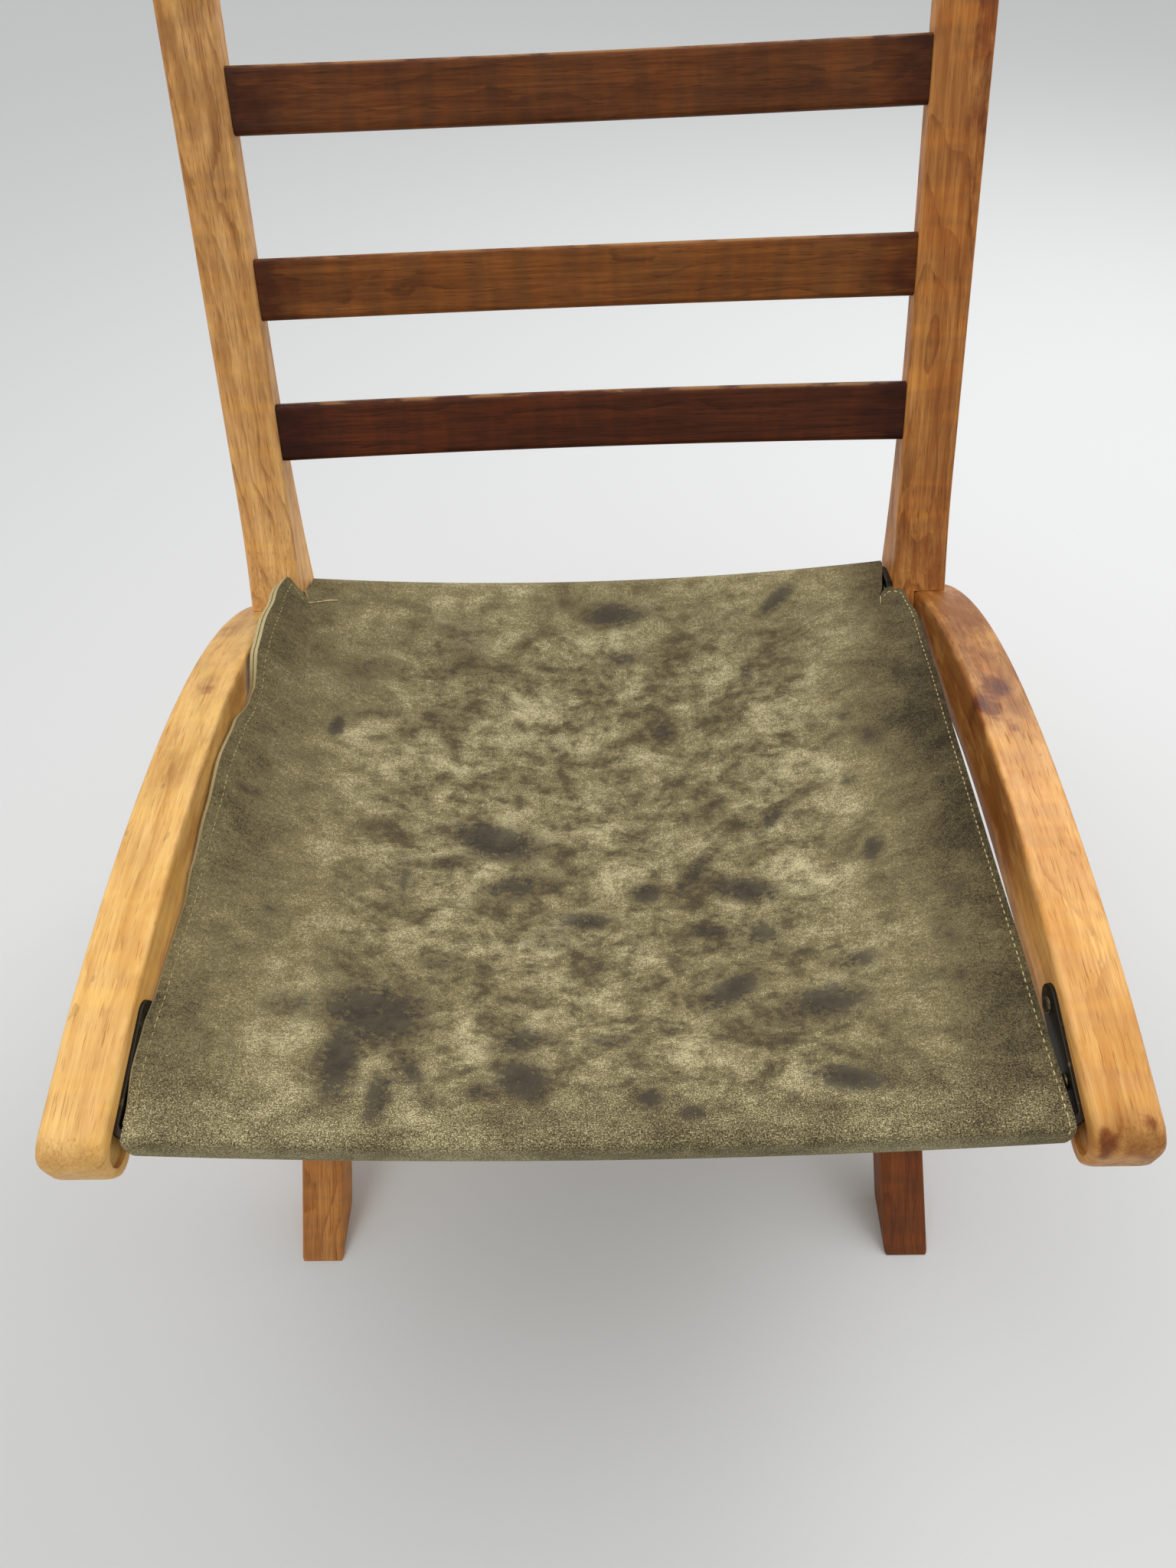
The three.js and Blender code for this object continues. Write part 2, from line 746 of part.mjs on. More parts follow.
// The leg ends in a half circle, and its outer half is cut away where the tongue laps it.
function legGeometry() {
  const steps = 8;
  const end = Array.from({ length: steps + 1 }, (_, i) => {
    const angle = (i / steps - 0.5) * Math.PI;
    return legPlace(legReach + (legDepth / 2) * Math.cos(angle), (legDepth / 2) * Math.sin(angle));
  });
  const outline = [
    new THREE.Vector2(toeSetback, 0),
    new THREE.Vector2(toeSetback + soleLength, 0),
    ...end,
  ];
  const foot = tongueFoot();
  const slope = new THREE.Vector2(Math.sin(tongueLean), Math.cos(tongueLean));
  const face = new THREE.Vector2(-fitGap * Math.cos(tongueLean), fitGap * Math.sin(tongueLean));
  const low = foot.clone().addScaledVector(slope, -overrun).add(face);
  const high = foot.clone().addScaledVector(slope, legReach / 2).add(face);
  const lap = [low, new THREE.Vector2(low.x + legReach, low.y), new THREE.Vector2(high.x + legReach, high.y), high];
  return subtract(sidePlate(outline, legInner, legOuter, legRound), [
    sidePlate(lap, legLap, legOuter + overrun),
    ...frameBolts.filter(({ inner }) => inner === legInner).map(boltHole),
  ]);
}

function barWithHoles(bar) {
  const right = bar.screws.map((along) => screwHole(bar, along, bar.earX + barThickness));
  return subtract(barGeometry(bar), [...right, ...right.map(mirrored)]);
}

addPair('side_rail', railGeometry(), railWood);
addPair('back_post', postGeometry(), postWood);
addPair('front_leg', legGeometry(), legWood);
addPiece('back_slat_lower', slatGeometry(lowerSlatRise), slatWood);
addPiece('back_slat_middle', slatGeometry(middleSlatRise), slatWood);
addPiece('back_slat_upper', slatGeometry(upperSlatRise), slatWood);
addPiece('front_bar', barWithHoles(frontBar), blackSteel);
addPiece('rear_bar', barWithHoles(rearBar), blackSteel);
addPiece('seat_sling', slingGeometry(), oliveSuede);
frontBar.screws.forEach((along, i) => addPair(`front_bar_screw_${i + 1}`, screwGeometry(frontBar, along), blackSteel));
rearBar.screws.forEach((along, i) => addPair(`rear_bar_screw_${i + 1}`, screwGeometry(rearBar, along), blackSteel));
frameBolts.forEach((bolt, i) => {
  addPair(`frame_bolt_${i + 1}`, boltGeometry(bolt), blackSteel);
  addPair(`frame_washer_${i + 1}`, washerGeometry(bolt), blackSteel);
  addPair(`frame_nut_${i + 1}`, nutGeometry(bolt), blackSteel);
});

const footprint = new THREE.Box3().setFromObject(chair, true);
chair.position.y = -(footprint.min.y + footprint.max.y) / 2;
chair.updateMatrixWorld(true);

export default chair;
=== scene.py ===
# %% [markdown]
# # A ladder-back chair with a suede sling seat
#
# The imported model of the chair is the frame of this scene: it says where every piece is. Here its plain
# solids get the shapes and finishes of the real chair: bent wood with grain, a suede sling with sewn
# edges, and black steel.

# %% Load the frame
import bpy
import bmesh
import math
import numpy as np
from mathutils import Matrix


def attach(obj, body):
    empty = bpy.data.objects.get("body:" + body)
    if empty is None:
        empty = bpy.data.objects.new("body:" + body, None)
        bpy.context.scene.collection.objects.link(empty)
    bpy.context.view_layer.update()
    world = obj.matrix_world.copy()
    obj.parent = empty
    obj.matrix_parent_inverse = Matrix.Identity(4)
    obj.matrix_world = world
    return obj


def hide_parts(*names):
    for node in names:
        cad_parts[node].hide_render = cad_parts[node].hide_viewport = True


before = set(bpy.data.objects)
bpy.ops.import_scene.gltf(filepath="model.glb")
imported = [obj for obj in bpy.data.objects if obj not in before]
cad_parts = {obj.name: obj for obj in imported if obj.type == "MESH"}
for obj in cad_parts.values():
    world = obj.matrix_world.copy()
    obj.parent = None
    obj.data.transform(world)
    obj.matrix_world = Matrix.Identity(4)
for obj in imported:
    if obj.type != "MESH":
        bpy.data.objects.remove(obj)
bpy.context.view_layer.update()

# %% [markdown]
# The camera stands in front of the chair and looks down at the seat, as in the photograph. Its place and
# turns were worked out from the chair's own corners there, and its lens from how fast the chair's lines
# converge.

# %% The camera
PICTURE_WIDTH = 1536
SENSOR_WIDTH = 36.0
FOCAL_PIXELS = 1538.04
EYE = np.array([0.02715, -0.72234, 1.04060])
LOOK_DOWN, LOOK_ASIDE, TILT = np.radians([45.2077, -2.9323, 3.5149])


def camera_axes(down, aside, tilt):
    """Right, up and back of a camera that looks along +Y, turned aside, then down, then tilted about its
    view."""
    ahead = np.array([math.sin(aside) * math.cos(down), math.cos(aside) * math.cos(down), -math.sin(down)])
    level = np.array([math.cos(aside), -math.sin(aside), 0.0])
    below = np.cross(ahead, level)
    right = math.cos(tilt) * level + math.sin(tilt) * below
    return np.column_stack([right, np.cross(-ahead, right), -ahead])


def place_object(made, axes, place):
    """An object's own axes are the columns of axes, and its origin is at place."""
    turned = np.eye(4)
    turned[:3, :3] = axes
    turned[:3, 3] = place
    bpy.context.collection.objects.link(made)
    made.matrix_world = Matrix(turned.tolist())


camera = bpy.data.objects.new("camera", bpy.data.cameras.new("camera"))
camera.data.sensor_fit = "HORIZONTAL"
camera.data.sensor_width = SENSOR_WIDTH
camera.data.lens = SENSOR_WIDTH * FOCAL_PIXELS / PICTURE_WIDTH
place_object(camera, camera_axes(LOOK_DOWN, LOOK_ASIDE, TILT), EYE)
bpy.context.scene.camera = camera
print("camera at", EYE, "lens", round(camera.data.lens, 2))

# %% [markdown]
# A finish is a small network of shader nodes. Written as Python expressions it reads like the formula
# that it is: a Wire is one socket, and + - * / on wires add Math nodes. Any other node comes from one
# method of the Finish.

# %% Wires


class Wire:
    """One output socket of a finish. Each arithmetic operator adds the Math node that does it."""

    def __init__(self, finish, socket):
        self.finish = finish
        self.socket = socket

    def math(self, operation, first, second=None):
        return self.finish.node("ShaderNodeMath", {"operation": operation}, {0: first, 1: second})

    def __add__(self, other):
        return self.math("ADD", self, other)

    def __sub__(self, other):
        return self.math("SUBTRACT", self, other)

    def __rsub__(self, other):
        return self.math("SUBTRACT", other, self)

    def __mul__(self, other):
        return self.math("MULTIPLY", self, other)

    def __truediv__(self, other):
        return self.math("DIVIDE", self, other)

    def __pow__(self, other):
        return self.math("POWER", self, other)

    __radd__ = __add__
    __rmul__ = __mul__

    def fraction(self):
        return self.math("FRACT", self)

    def ramp(self, low, high):
        """0 below low, 1 above high, and a smooth rise between them; a low above high falls instead."""
        return self.finish.node(
            "ShaderNodeMapRange",
            {"interpolation_type": "SMOOTHSTEP"},
            {"Value": self, "From Min": low, "From Max": high},
        )


print("wires can be added, subtracted, multiplied, divided and raised to a power")

# %% Finishes


class Finish:
    """A material and its nodes, with a Principled shader whose sockets are fed by name."""

    def __init__(self, name):
        self.material = bpy.data.materials.new(name)
        self.material.use_nodes = True
        self.tree = self.material.node_tree
        self.shader = self.tree.nodes["Principled BSDF"]

    def feed(self, socket, value):
        if isinstance(value, Wire):
            self.tree.links.new(value.socket, socket)
        elif value is not None:
            socket.default_value = value

    def node(self, kind, settings=None, values=None, out=0):
        """A node of any kind: its settings come first, then the values or wires of its sockets."""
        made = self.tree.nodes.new(kind)
        for key, value in (settings or {}).items():
            setattr(made, key, value)
        for key, value in (values or {}).items():
            self.feed(made.inputs[key], value)
        return Wire(self, made.outputs[out])

    def shade(self, **values):
        """Feeds the Principled shader; a double underscore in a name stands for a space."""
        for key, value in values.items():
            self.feed(self.shader.inputs[key.replace("__", " ")], value)
        return self.material

    def attribute(self, name, out="Vector"):
        """What is kept on the mesh under that name; Fac gives it as one number."""
        return self.node("ShaderNodeAttribute", {"attribute_name": name}, out=out)

    def stretched(self, vector, along, through, across, shift=(0, 0, 0)):
        """The vector with each of its three parts times its own number, then moved."""
        return self.node(
            "ShaderNodeMapping", {}, {"Vector": vector, "Scale": (along, through, across), "Location": shift}
        )

    def noise(self, vector, scale=1.0, detail=2.0, roughness=0.5, distortion=0.0, out=0):
        """Soft noise about 0.5: scale is its waves per metre, and detail how many finer ones join it."""
        values = {"Vector": vector, "Scale": scale, "Detail": detail}
        values |= {"Roughness": roughness, "Distortion": distortion}
        return self.node("ShaderNodeTexNoise", {}, values, out)

    def figure(self, grain, along, beside, detail, roughness, distortion=0.0, out=0):
        """Noise with one scale along the grain and another beside it."""
        vector = self.stretched(grain, along, beside, beside)
        return self.noise(vector, 1.0, detail, roughness, distortion, out)

    def blend(self, share, first, second, how="MIX"):
        """The first colour where share is 0, and the second where it is 1."""
        return self.node(
            "ShaderNodeMix", {"data_type": "RGBA", "blend_type": how}, {0: share, 6: first, 7: second}, 2
        )

    def relief(self, height, millimetres, strength=1.0):
        """Leans the surface as a height of 0 to 1 would, if 1 stood that many millimetres up."""
        return self.node(
            "ShaderNodeBump", {}, {"Height": height, "Distance": millimetres / 1000, "Strength": strength}
        )


def tone(code):
    """A colour as it is written on a screen, such as c8924f, as the linear light that a shader counts
    in."""
    parts = np.array([int(code[i : i + 2], 16) for i in (0, 2, 4)]) / 255
    light = np.where(parts <= 0.04045, parts / 12.92, ((parts + 0.055) / 1.055) ** 2.4)
    return (*light.tolist(), 1.0)


print("honey wood is", [round(part, 3) for part in tone("c8924f")])

# %% [markdown]
# The chair stands on a plain pale floor under soft lamps. The world looks white to the camera and in
# reflections, while its light on the chair itself stays low enough for colours to come out as they are
# written.

# %% The floor and the world
FLOOR_REACH = 14.0
WORLD_LIGHT = 0.62
bpy.context.scene.view_settings.view_transform = "Standard"
floor_mesh = bpy.data.meshes.new("floor")
floor_mesh.from_pydata(
    [(x * FLOOR_REACH, y * FLOOR_REACH, 0) for x, y in ((-1, -1), (1, -1), (1, 1), (-1, 1))],
    [],
    [(0, 1, 2, 3)],
)
floor = bpy.data.objects.new("floor", floor_mesh)
bpy.context.collection.objects.link(floor)
paint = Finish("floor_paint")
speck = paint.noise(paint.node("ShaderNodeTexCoord", out="Object"), 260.0, 3.0, 0.6)
floor_mesh.materials.append(
    paint.shade(Base__Color=tone("dcdddd"), Roughness=0.55, Normal=paint.relief(speck, 0.4, 0.25))
)

world = bpy.data.worlds.new("world")
bpy.context.scene.world = world
world.use_nodes = True
sky = world.node_tree
seen = sky.nodes.new("ShaderNodeLightPath")
most = seen.outputs["Is Camera Ray"]
for kind in ("Is Glossy Ray", "Is Transmission Ray"):
    larger = sky.nodes.new("ShaderNodeMath")
    larger.operation = "MAXIMUM"
    sky.links.new(most, larger.inputs[0])
    sky.links.new(seen.outputs[kind], larger.inputs[1])
    most = larger.outputs[0]
level = sky.nodes.new("ShaderNodeMapRange")
level.inputs["To Min"].default_value = WORLD_LIGHT
level.inputs["To Max"].default_value = 1.0
sky.links.new(most, level.inputs["Value"])
sky.nodes["Background"].inputs["Color"].default_value = (1, 1, 1, 1)
sky.links.new(level.outputs[0], sky.nodes["Background"].inputs["Strength"])
print("the floor is", 2 * FLOOR_REACH, "m wide")

# %% The lamps
LAMPS = {
    "lamp_window": {"place": (1.3, 1.5, 2.3), "size": 1.5, "watts": 34},
    "lamp_ceiling": {"place": (-0.9, -0.5, 2.6), "size": 1.8, "watts": 20},
}
SEAT_MIDDLE = (0, 0, 0.4)


def soft_lamp(name, place, size, watts):
    """A square lamp that faces the middle of the seat."""
    lamp = bpy.data.objects.new(name, bpy.data.lights.new(name, "AREA"))
    lamp.data.size = size
    lamp.data.energy = watts
    back = np.array(place, float) - np.array(SEAT_MIDDLE, float)
    back /= np.linalg.norm(back)
    right = np.cross([0.0, 0.0, 1.0], back)
    right /= np.linalg.norm(right)
    place_object(lamp, np.column_stack([right, np.cross(back, right), back]), place)


for name, lamp in LAMPS.items():
    soft_lamp(name, **lamp)
print("lamps", list(LAMPS))

# %% [markdown]
# All lengths below are in millimetres on the chair's side view: Y counts back from the rails' front ends
# and Z up from the floor. A mesh gets metres about the chair's own centre, as the model has them. Paired
# pieces are worked out for the right half, where X is above 0, and mirrored for the left.

# %% From the drawing to the scene
NOSE_AHEAD = 406.844
CREASE = 32
SIDES = {"right": 1, "left": -1}


def scene_places(points):
    """Metres about the chair's own centre, from millimetres on the drawing."""
    return (np.asarray(points, float) - [0, NOSE_AHEAD, 0]) / 1000


def drawing_places(mesh):
    """Every point of a mesh, back in millimetres on the drawing."""
    places = np.empty(3 * len(mesh.vertices))
    mesh.vertices.foreach_get("co", places)
    return places.reshape(-1, 3) * 1000 + [0, NOSE_AHEAD, 0]


def closed_mesh(name, points, faces, crease=CREASE):
    """A mesh of those points and faces, all of them facing out, smooth where they meet below the crease
    angle."""
    mesh = bpy.data.meshes.new(name)
    mesh.from_pydata(scene_places(points).tolist(), [], [list(face) for face in faces])
    work = bmesh.new()
    work.from_mesh(mesh)
    bmesh.ops.recalc_face_normals(work, faces=work.faces)
    work.to_mesh(mesh)
    work.free()
    mesh.shade_smooth()
    mesh.set_sharp_from_angle(angle=math.radians(crease))
    made = bpy.data.objects.new(name, mesh)
    bpy.context.collection.objects.link(made)
    return made


def keep(mesh, name, values):
    """Writes one number, or one vector, for each point, for a material to read."""
    values = np.asarray(values, float)
    kind, part = ("FLOAT", "value") if values.ndim == 1 else ("FLOAT_VECTOR", "vector")
    mesh.attributes.new(name, kind, "POINT").data.foreach_set(part, values.ravel())


print("the rails' front ends lie at", scene_places([[0, 0, 0]]).tolist())

# %% [markdown]
# Nearly every piece is a stack of rings, like the slices of a loaf: quads join each ring to the next, and
# the first and last ring are closed with a flat face. Holes and pockets are cut with a Boolean, as a
# chisel or a drill would cut them.

# %% Solids from rings
chair = {}


def skin(rings, closed=False):
    """Quads between each ring of points and the next, and a flat face at each end, or none where the last
    ring joins the first."""
    count, size = rings.shape[:2]
    last = count if closed else count - 1
    ring, place = np.meshgrid(np.arange(last), np.arange(size), indexing="ij")
    after = (ring + 1) % count
    beside = (place + 1) % size
    corners = [ring * size + place, ring * size + beside, after * size + beside, after * size + place]
    faces = np.stack(corners, -1).reshape(-1, 4).tolist()
    if not closed:
        faces += [list(range(size))[::-1], list(range((count - 1) * size, count * size))]
    return rings.reshape(-1, 3), faces


def solid(name, rings, side="right", closed=False):
    """The mesh of a stack of rings, mirrored for the chair's left half."""
    points, faces = skin(rings, closed)
    return closed_mesh(name, points * [-1, 1, 1] if side == "left" else points, faces)


def carve(piece, cutter_rings, side):
    """Takes the solid of each stack of rings away from the piece."""
    cutters = [solid("cutter", rings, side) for rings in cutter_rings]
    for cutter in cutters:
        cut = piece.modifiers.new("cut", "BOOLEAN")
        cut.operation = "DIFFERENCE"
        cut.solver = "EXACT"
        cut.object = cutter
    bpy.context.view_layer.update()
    done = bpy.data.meshes.new_from_object(piece.evaluated_get(bpy.context.evaluated_depsgraph_get()))
    piece.modifiers.clear()
    piece.data = done
    for cutter in cutters:
        bpy.data.objects.remove(cutter)
    done.shade_smooth()
    done.set_sharp_from_angle(angle=math.radians(CREASE))


def finished(made, node):
    """The finished piece rides on the chair's one body and takes its node's place."""
    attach(made, "root")
    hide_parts(node)
    chair[made.name] = made


def flat_rings(outline, low, high):
    """A side outline at two places across the chair."""
    return np.array([np.insert(outline, 0, x, axis=1) for x in (low, high)])


def smooth(share):
    """Rises from 0 to 1 with level ends: three squares less two cubes."""
    held = np.clip(share, 0, 1)
    return held * held * (3 - 2 * held)


def rounded_rings(width, depth, radius, steps=6):
    """Rectangles with round corners, one for each width, depth and radius: four quarter circles, and
    between them three places on each straight side, so that a flat side stays flat where the light
    crosses it."""
    sizes = np.broadcast_arrays(*np.atleast_1d(width, depth, radius))
    width, depth, radius = (part.reshape(-1, 1, 1) for part in sizes)
    radius = np.minimum(radius, 0.48 * np.minimum(width, depth))
    quarter = np.arange(4).reshape(1, 4, 1)
    angle = (quarter + np.linspace(0, 1, steps + 1)) * np.pi / 2
    middle = (quarter + 0.5) * np.pi / 2
    across = np.sign(np.cos(middle)) * (width / 2 - radius) + radius * np.cos(angle)
    through = np.sign(np.sin(middle)) * (depth / 2 - radius) + radius * np.sin(angle)
    corners = np.stack([across, through], -1)
    start, end = corners[:, :, -1:], np.roll(corners[:, :, :1], -1, axis=1)
    share = np.array([0.07, 0.5, 0.93]).reshape(1, 1, 3, 1)
    return np.concatenate([corners, start + (end - start) * share], 2).reshape(len(corners), -1, 2)


print("a rounded rectangle has", rounded_rings(2, 1, 0.1).shape[1], "points")

# %% [markdown]
# A finish has to know two things about a wooden piece: how its grain runs, and where it is stained or
# rubbed. Both are worked out for each point here and kept on the mesh as attributes.

# %% Grain and soft spots


def grain_places(points, path):
    """For each point, how far along the path the nearest place is, how far the point lies to the path's
    side in the side view, and its place across the chair. The path is a line of Y and Z places."""
    steps = np.diff(path, axis=0)
    lengths = np.linalg.norm(steps, axis=1)
    along = np.concatenate([[0], np.cumsum(lengths)])
    ahead = steps / lengths[:, None]
    side = points[:, None, 1:] - path[None, :-1]
    run = np.clip((side * ahead).sum(-1), 0, lengths)
    gap = np.linalg.norm(side - run[..., None] * ahead, axis=-1)
    best = gap.argmin(1)
    row = np.arange(len(points))
    way = ahead[best]
    over = (side[row, best] * np.stack([-way[:, 1], way[:, 0]], -1)).sum(-1)
    reach = (side[row, best] * way).sum(-1)
    return np.stack([along[best] + reach, over, points[:, 0]], -1)


def blobs(places, spots):
    """Soft spots on a plane: each is its centre, its half length and half width, its turn in degrees and
    its strength, and falls off as a bell from its middle. Where spots overlap, the strongest counts."""
    spots = np.array(spots, float)
    turn = np.radians(spots[:, 4])
    gap = places[:, None] - spots[None, :, :2]
    long = gap[..., 0] * np.cos(turn) + gap[..., 1] * np.sin(turn)
    wide = gap[..., 1] * np.cos(turn) - gap[..., 0] * np.sin(turn)
    bell = np.exp(-0.8 * ((long / spots[:, 2]) ** 2 + (wide / spots[:, 3]) ** 2))
    return (spots[:, 5] * bell).max(1)


def grain_kept(piece, path):
    """Keeps the grain of a finished mesh along a path, and gives it back in millimetres."""
    grain = grain_places(drawing_places(piece.data), path)
    keep(piece.data, "grain", grain / 1000)
    return grain


print("half of a spot's strength is left at", round(math.sqrt(math.log(2) / 0.8), 2), "of its half length")

# %% [markdown]
# A side rail is one piece of wood from its blunt nose to its rear foot. It could be steam-bent, laminated
# or sawn from a wide board. Here a rounded rectangle is carried along the rail's centre line, which keeps
# the corners round all the way and gives each point its place along the grain.

# %% The rail's centre line
RAIL_IN, RAIL_WIDE, RAIL_ROUND, RAIL_EDGE = 278.0, 40.0, 5.5, 3.2
RAIL_MIDDLE = RAIL_IN + RAIL_WIDE / 2
CROWN = np.array([284.5, 440.0])
NOSE_DROP, NOSE_DEEP, NOSE_ROUND = 26.0, 46.0, 17.0
CROWN_DEEP, KNEE_DEEP, FOOT_DEEP = 51.0, 52.0, 38.0
LEG_LEAN = math.radians(28)
BEND = CROWN + [275, 0]
FALL = np.array([math.sin(LEG_LEAN), -math.cos(LEG_LEAN)])
KNEE = BEND + 200 * FALL
REAR_FOOT = KNEE + FALL * KNEE[1] / math.cos(LEG_LEAN)
HANDLES = [CROWN, CROWN + 0.69 * (BEND - CROWN), BEND + 0.34 * (KNEE - BEND), KNEE]


def rear_curve(share):
    """The cubic curve from the crown to the knee, and the way it runs."""
    t = np.asarray(share, float)[:, None]
    a, b, c, d = HANDLES
    place = (1 - t) ** 3 * a + 3 * t * (1 - t) ** 2 * b + 3 * t * t * (1 - t) * c + t**3 * d
    way = 3 * ((1 - t) ** 2 * (b - a) + 2 * t * (1 - t) * (c - b) + t * t * (d - c))
    return place, np.arctan2(way[:, 1], way[:, 0])


def rail_line():
    """Centres, slopes and depths: a parabola falls from the crown to the nose, and the rear curve follows
    it."""
    run = CROWN[0] - NOSE_ROUND
    back = np.linspace(1, 0, 61)[:-1]
    front = np.stack([CROWN[0] - run * back, CROWN[1] - NOSE_DROP * back**2], -1)
    front_deep = CROWN_DEEP + (NOSE_DEEP - CROWN_DEEP) * back**2
    share = np.linspace(0, 1, 81)
    rear, slope = rear_curve(share)
    rear_deep = CROWN_DEEP + (KNEE_DEEP - CROWN_DEEP) * share
    return (
        np.concatenate([front, rear]),
        np.concatenate([np.arctan(2 * NOSE_DROP * back / run), slope]),
        np.concatenate([front_deep, rear_deep]),
    )


rail_path = np.concatenate([rail_line()[0], [REAR_FOOT]])
rail_path = np.concatenate([[rail_path[0] - [NOSE_ROUND, 3]], rail_path])
rail_long = np.linalg.norm(np.diff(rail_path, axis=0), axis=1).sum()
print("rail is", round(float(rail_long)), "mm along its middle")

# %% [markdown]
# Hands have rounded the front end most, so the long edges get softer there.

# %% The rail's rings
SOFT_END, SOFT_FADE = 100, 80


def side_rings(centre, slope, rings):
    """Puts flat rings, across and through, on their centres in the side view."""
    across, through = rings[..., 0], rings[..., 1]
    y = centre[:, :1] - through * np.sin(slope)[:, None]
    z = centre[:, 1:] + through * np.cos(slope)[:, None]
    return np.stack([RAIL_MIDDLE + across, y, z], -1)


def rail_rings():
    """The nose, where the depth and the width shrink along quarter circles, then the bent part, then the
    straight leg, which turns level at the floor and has its last edge broken."""
    centre, slope, depth = rail_line()
    turn = np.linspace(1, 0, 15)[:-1] * np.pi / 2
    tip = NOSE_ROUND * (1 - np.sin(turn))
    lost = RAIL_ROUND - np.sqrt(RAIL_ROUND**2 - np.maximum(0, RAIL_ROUND - tip) ** 2)
    ahead = np.array([math.cos(slope[0]), math.sin(slope[0])])
    nose = side_rings(
        centre[0] - NOSE_ROUND * np.sin(turn)[:, None] * ahead,
        np.full(len(turn), slope[0]),
        rounded_rings(RAIL_WIDE - 2 * lost, NOSE_DEEP - 2 * NOSE_ROUND * (1 - np.cos(turn)), RAIL_ROUND),
    )
    crisp = RAIL_EDGE + (RAIL_ROUND - RAIL_EDGE) * smooth((SOFT_END - centre[:, 0]) / SOFT_FADE)
    bent = side_rings(centre, slope, rounded_rings(RAIL_WIDE, depth, crisp))
    flat = rounded_rings(RAIL_WIDE, FOOT_DEEP, RAIL_EDGE)[0]
    sole_y = REAR_FOOT[0] + flat[:, 1] / math.cos(LEG_LEAN)
    sole = np.stack([RAIL_MIDDLE + flat[:, 0], sole_y, np.zeros(len(flat))], -1)
    down = np.append(np.linspace(0, 1, 25)[1:-1], 0.9935)[:, None, None]
    leg = bent[-1] + (sole - bent[-1]) * down
    sole_middle = sole.mean(0)
    return np.concatenate([nose, bent, leg, [sole_middle + (sole - sole_middle) * 0.93]])


print("rail has", len(rail_rings()), "rings")

# %% [markdown]
# The front bar's ears lie in shallow pockets in the rails' inner faces. A pocket is a slot with round
# ends, cut from the rail, and both the bar and the pocket use the bar's own side view. For each bar,
# ear_x says where the middle of the ear's steel lies across the chair, setback and height where the bar
# passes there, ear and slope how long the ear is and how it rises, turn which way it runs, and screws
# where its two screws are.

# %% The bars' side view
BAR_THICK, BAR_TALL, BAR_BEND, BAR_EDGE = 5.0, 22.0, 6.5, 0.9
FIT = 0.3
POST_IN, POST_WIDE, TONGUE = 260.5, 44.0, 17.2
POCKET = 3.0
POST_BOLT, RAIL_BOLT = rear_curve([0.557, 0.663])[0]
POST_SEAT = POST_BOLT + [-6.5, 19.3]
front_bar = {
    "ear_x": RAIL_IN + POCKET - FIT - BAR_THICK / 2,
    "setback": 21.0,
    "height": CROWN[1] - NOSE_DROP,
    "sag": 14.0,
    "slope": math.radians(13),
    "ear": 86.0,
    "turn": 1,
    "screws": (73.0, 26.0),
}
rear_bar = {
    "ear_x": POST_IN - FIT - BAR_THICK / 2,
    "setback": POST_SEAT[0] + 36.5,
    "height": POST_SEAT[1] + 3,
    "sag": 13.0,
    "slope": math.radians(9),
    "ear": 40.0,
    "turn": -1,
    "screws": (27.0, 12.0),
}


def bar_place(bar, along, up, x):
    """Y and Z of a place on a bar: along its ear from the bar, up from its middle; the bar sags between
    its ears as a parabola."""
    height = bar["height"] - bar["sag"] * (1 - np.minimum(1, np.abs(x) / bar["ear_x"]) ** 2)
    rise, run = math.sin(bar["slope"]), math.cos(bar["slope"])
    y = bar["setback"] + bar["turn"] * (along * run - up * rise)
    return y + 0 * height, height + along * rise + up * run


def pocket_rings():
    """The slot's outline: two half circles a little larger than the ear's, from inside the rail's face to
    the pocket's floor."""
    half = BAR_TALL / 2 + FIT
    angle = np.linspace(-0.5, 0.5, 21) * np.pi
    ear_end = front_bar["ear"] - BAR_TALL / 2 + half * np.cos(angle)
    along = np.concatenate([ear_end, -5 - half * np.cos(angle)])
    up = np.concatenate([half * np.sin(angle), -half * np.sin(angle)])
    outline = np.stack(bar_place(front_bar, along, up, front_bar["ear_x"]), -1)
    return flat_rings(outline, RAIL_IN - 20, RAIL_IN + POCKET)


print("the bars lie at", front_bar["height"], "and", round(rear_bar["height"], 1), "mm")

# %% [markdown]
# Stains and tints are soft spots, read off the photograph. Each row says where the spot's middle
# is along and across the piece, then its half length, its half width, its turn and its strength. A stain
# is a dark mark, and a tint turns the wood browner; the tints also carry painted shade and a painted sheen.

# %% Two rails
RAIL_STAINS = {
    "right": [
        (342, -5, 20, 8, 25, 1.0), (326, -13, 12, 7, -30, 0.95), (300, -4, 10, 6, 40, 0.6),
        (268, -8, 14, 4, 20, 0.5), (6, -14, 7, 4, 0, 0.8), (14, 10, 5, 4, 0, 0.7), (22, -4, 4, 2, 0, 0.5),
    ],
    "left": [(372, 0, 10, 4, 10, 0.5), (262, -10, 7, 3, 0, 0.4), (10, 4, 6, 3, 0, 0.45)],
}
RAIL_TINTS_AND_SHEEN = {
    "right": [
        (470, 0, 150, 90, 0, 1.0), (345, 0, 50, 30, 0, 0.8), (0, 0, 26, 60, 0, 0.6),
        (60, 12, 30, 14, 10, 0.3),
    ],
    "left": [
        (455, 0, 140, 90, 0, 0.4), (290, 2, 36, 11, 8, 0.5), (252, 9, 26, 9, 0, 0.45),
        # The spot at 460 is a painted reflection: the pinkish sheen on the rail's top near the left post.
        (375, 0, 48, 14, 6, 0.5), (460, 10, 60, 14, 0, 0.6), (4, 0, 16, 40, 0, 0.25),
        (205, 6, 50, 14, 8, 0.3), (300, 0, 80, 60, 0, 0.32),
    ],
}
# How much the rails' inner faces are darkened: painted shade, deepest on the right rail.
INNER_FACE_SHADE = {"right": 0.95, "left": 0.5}
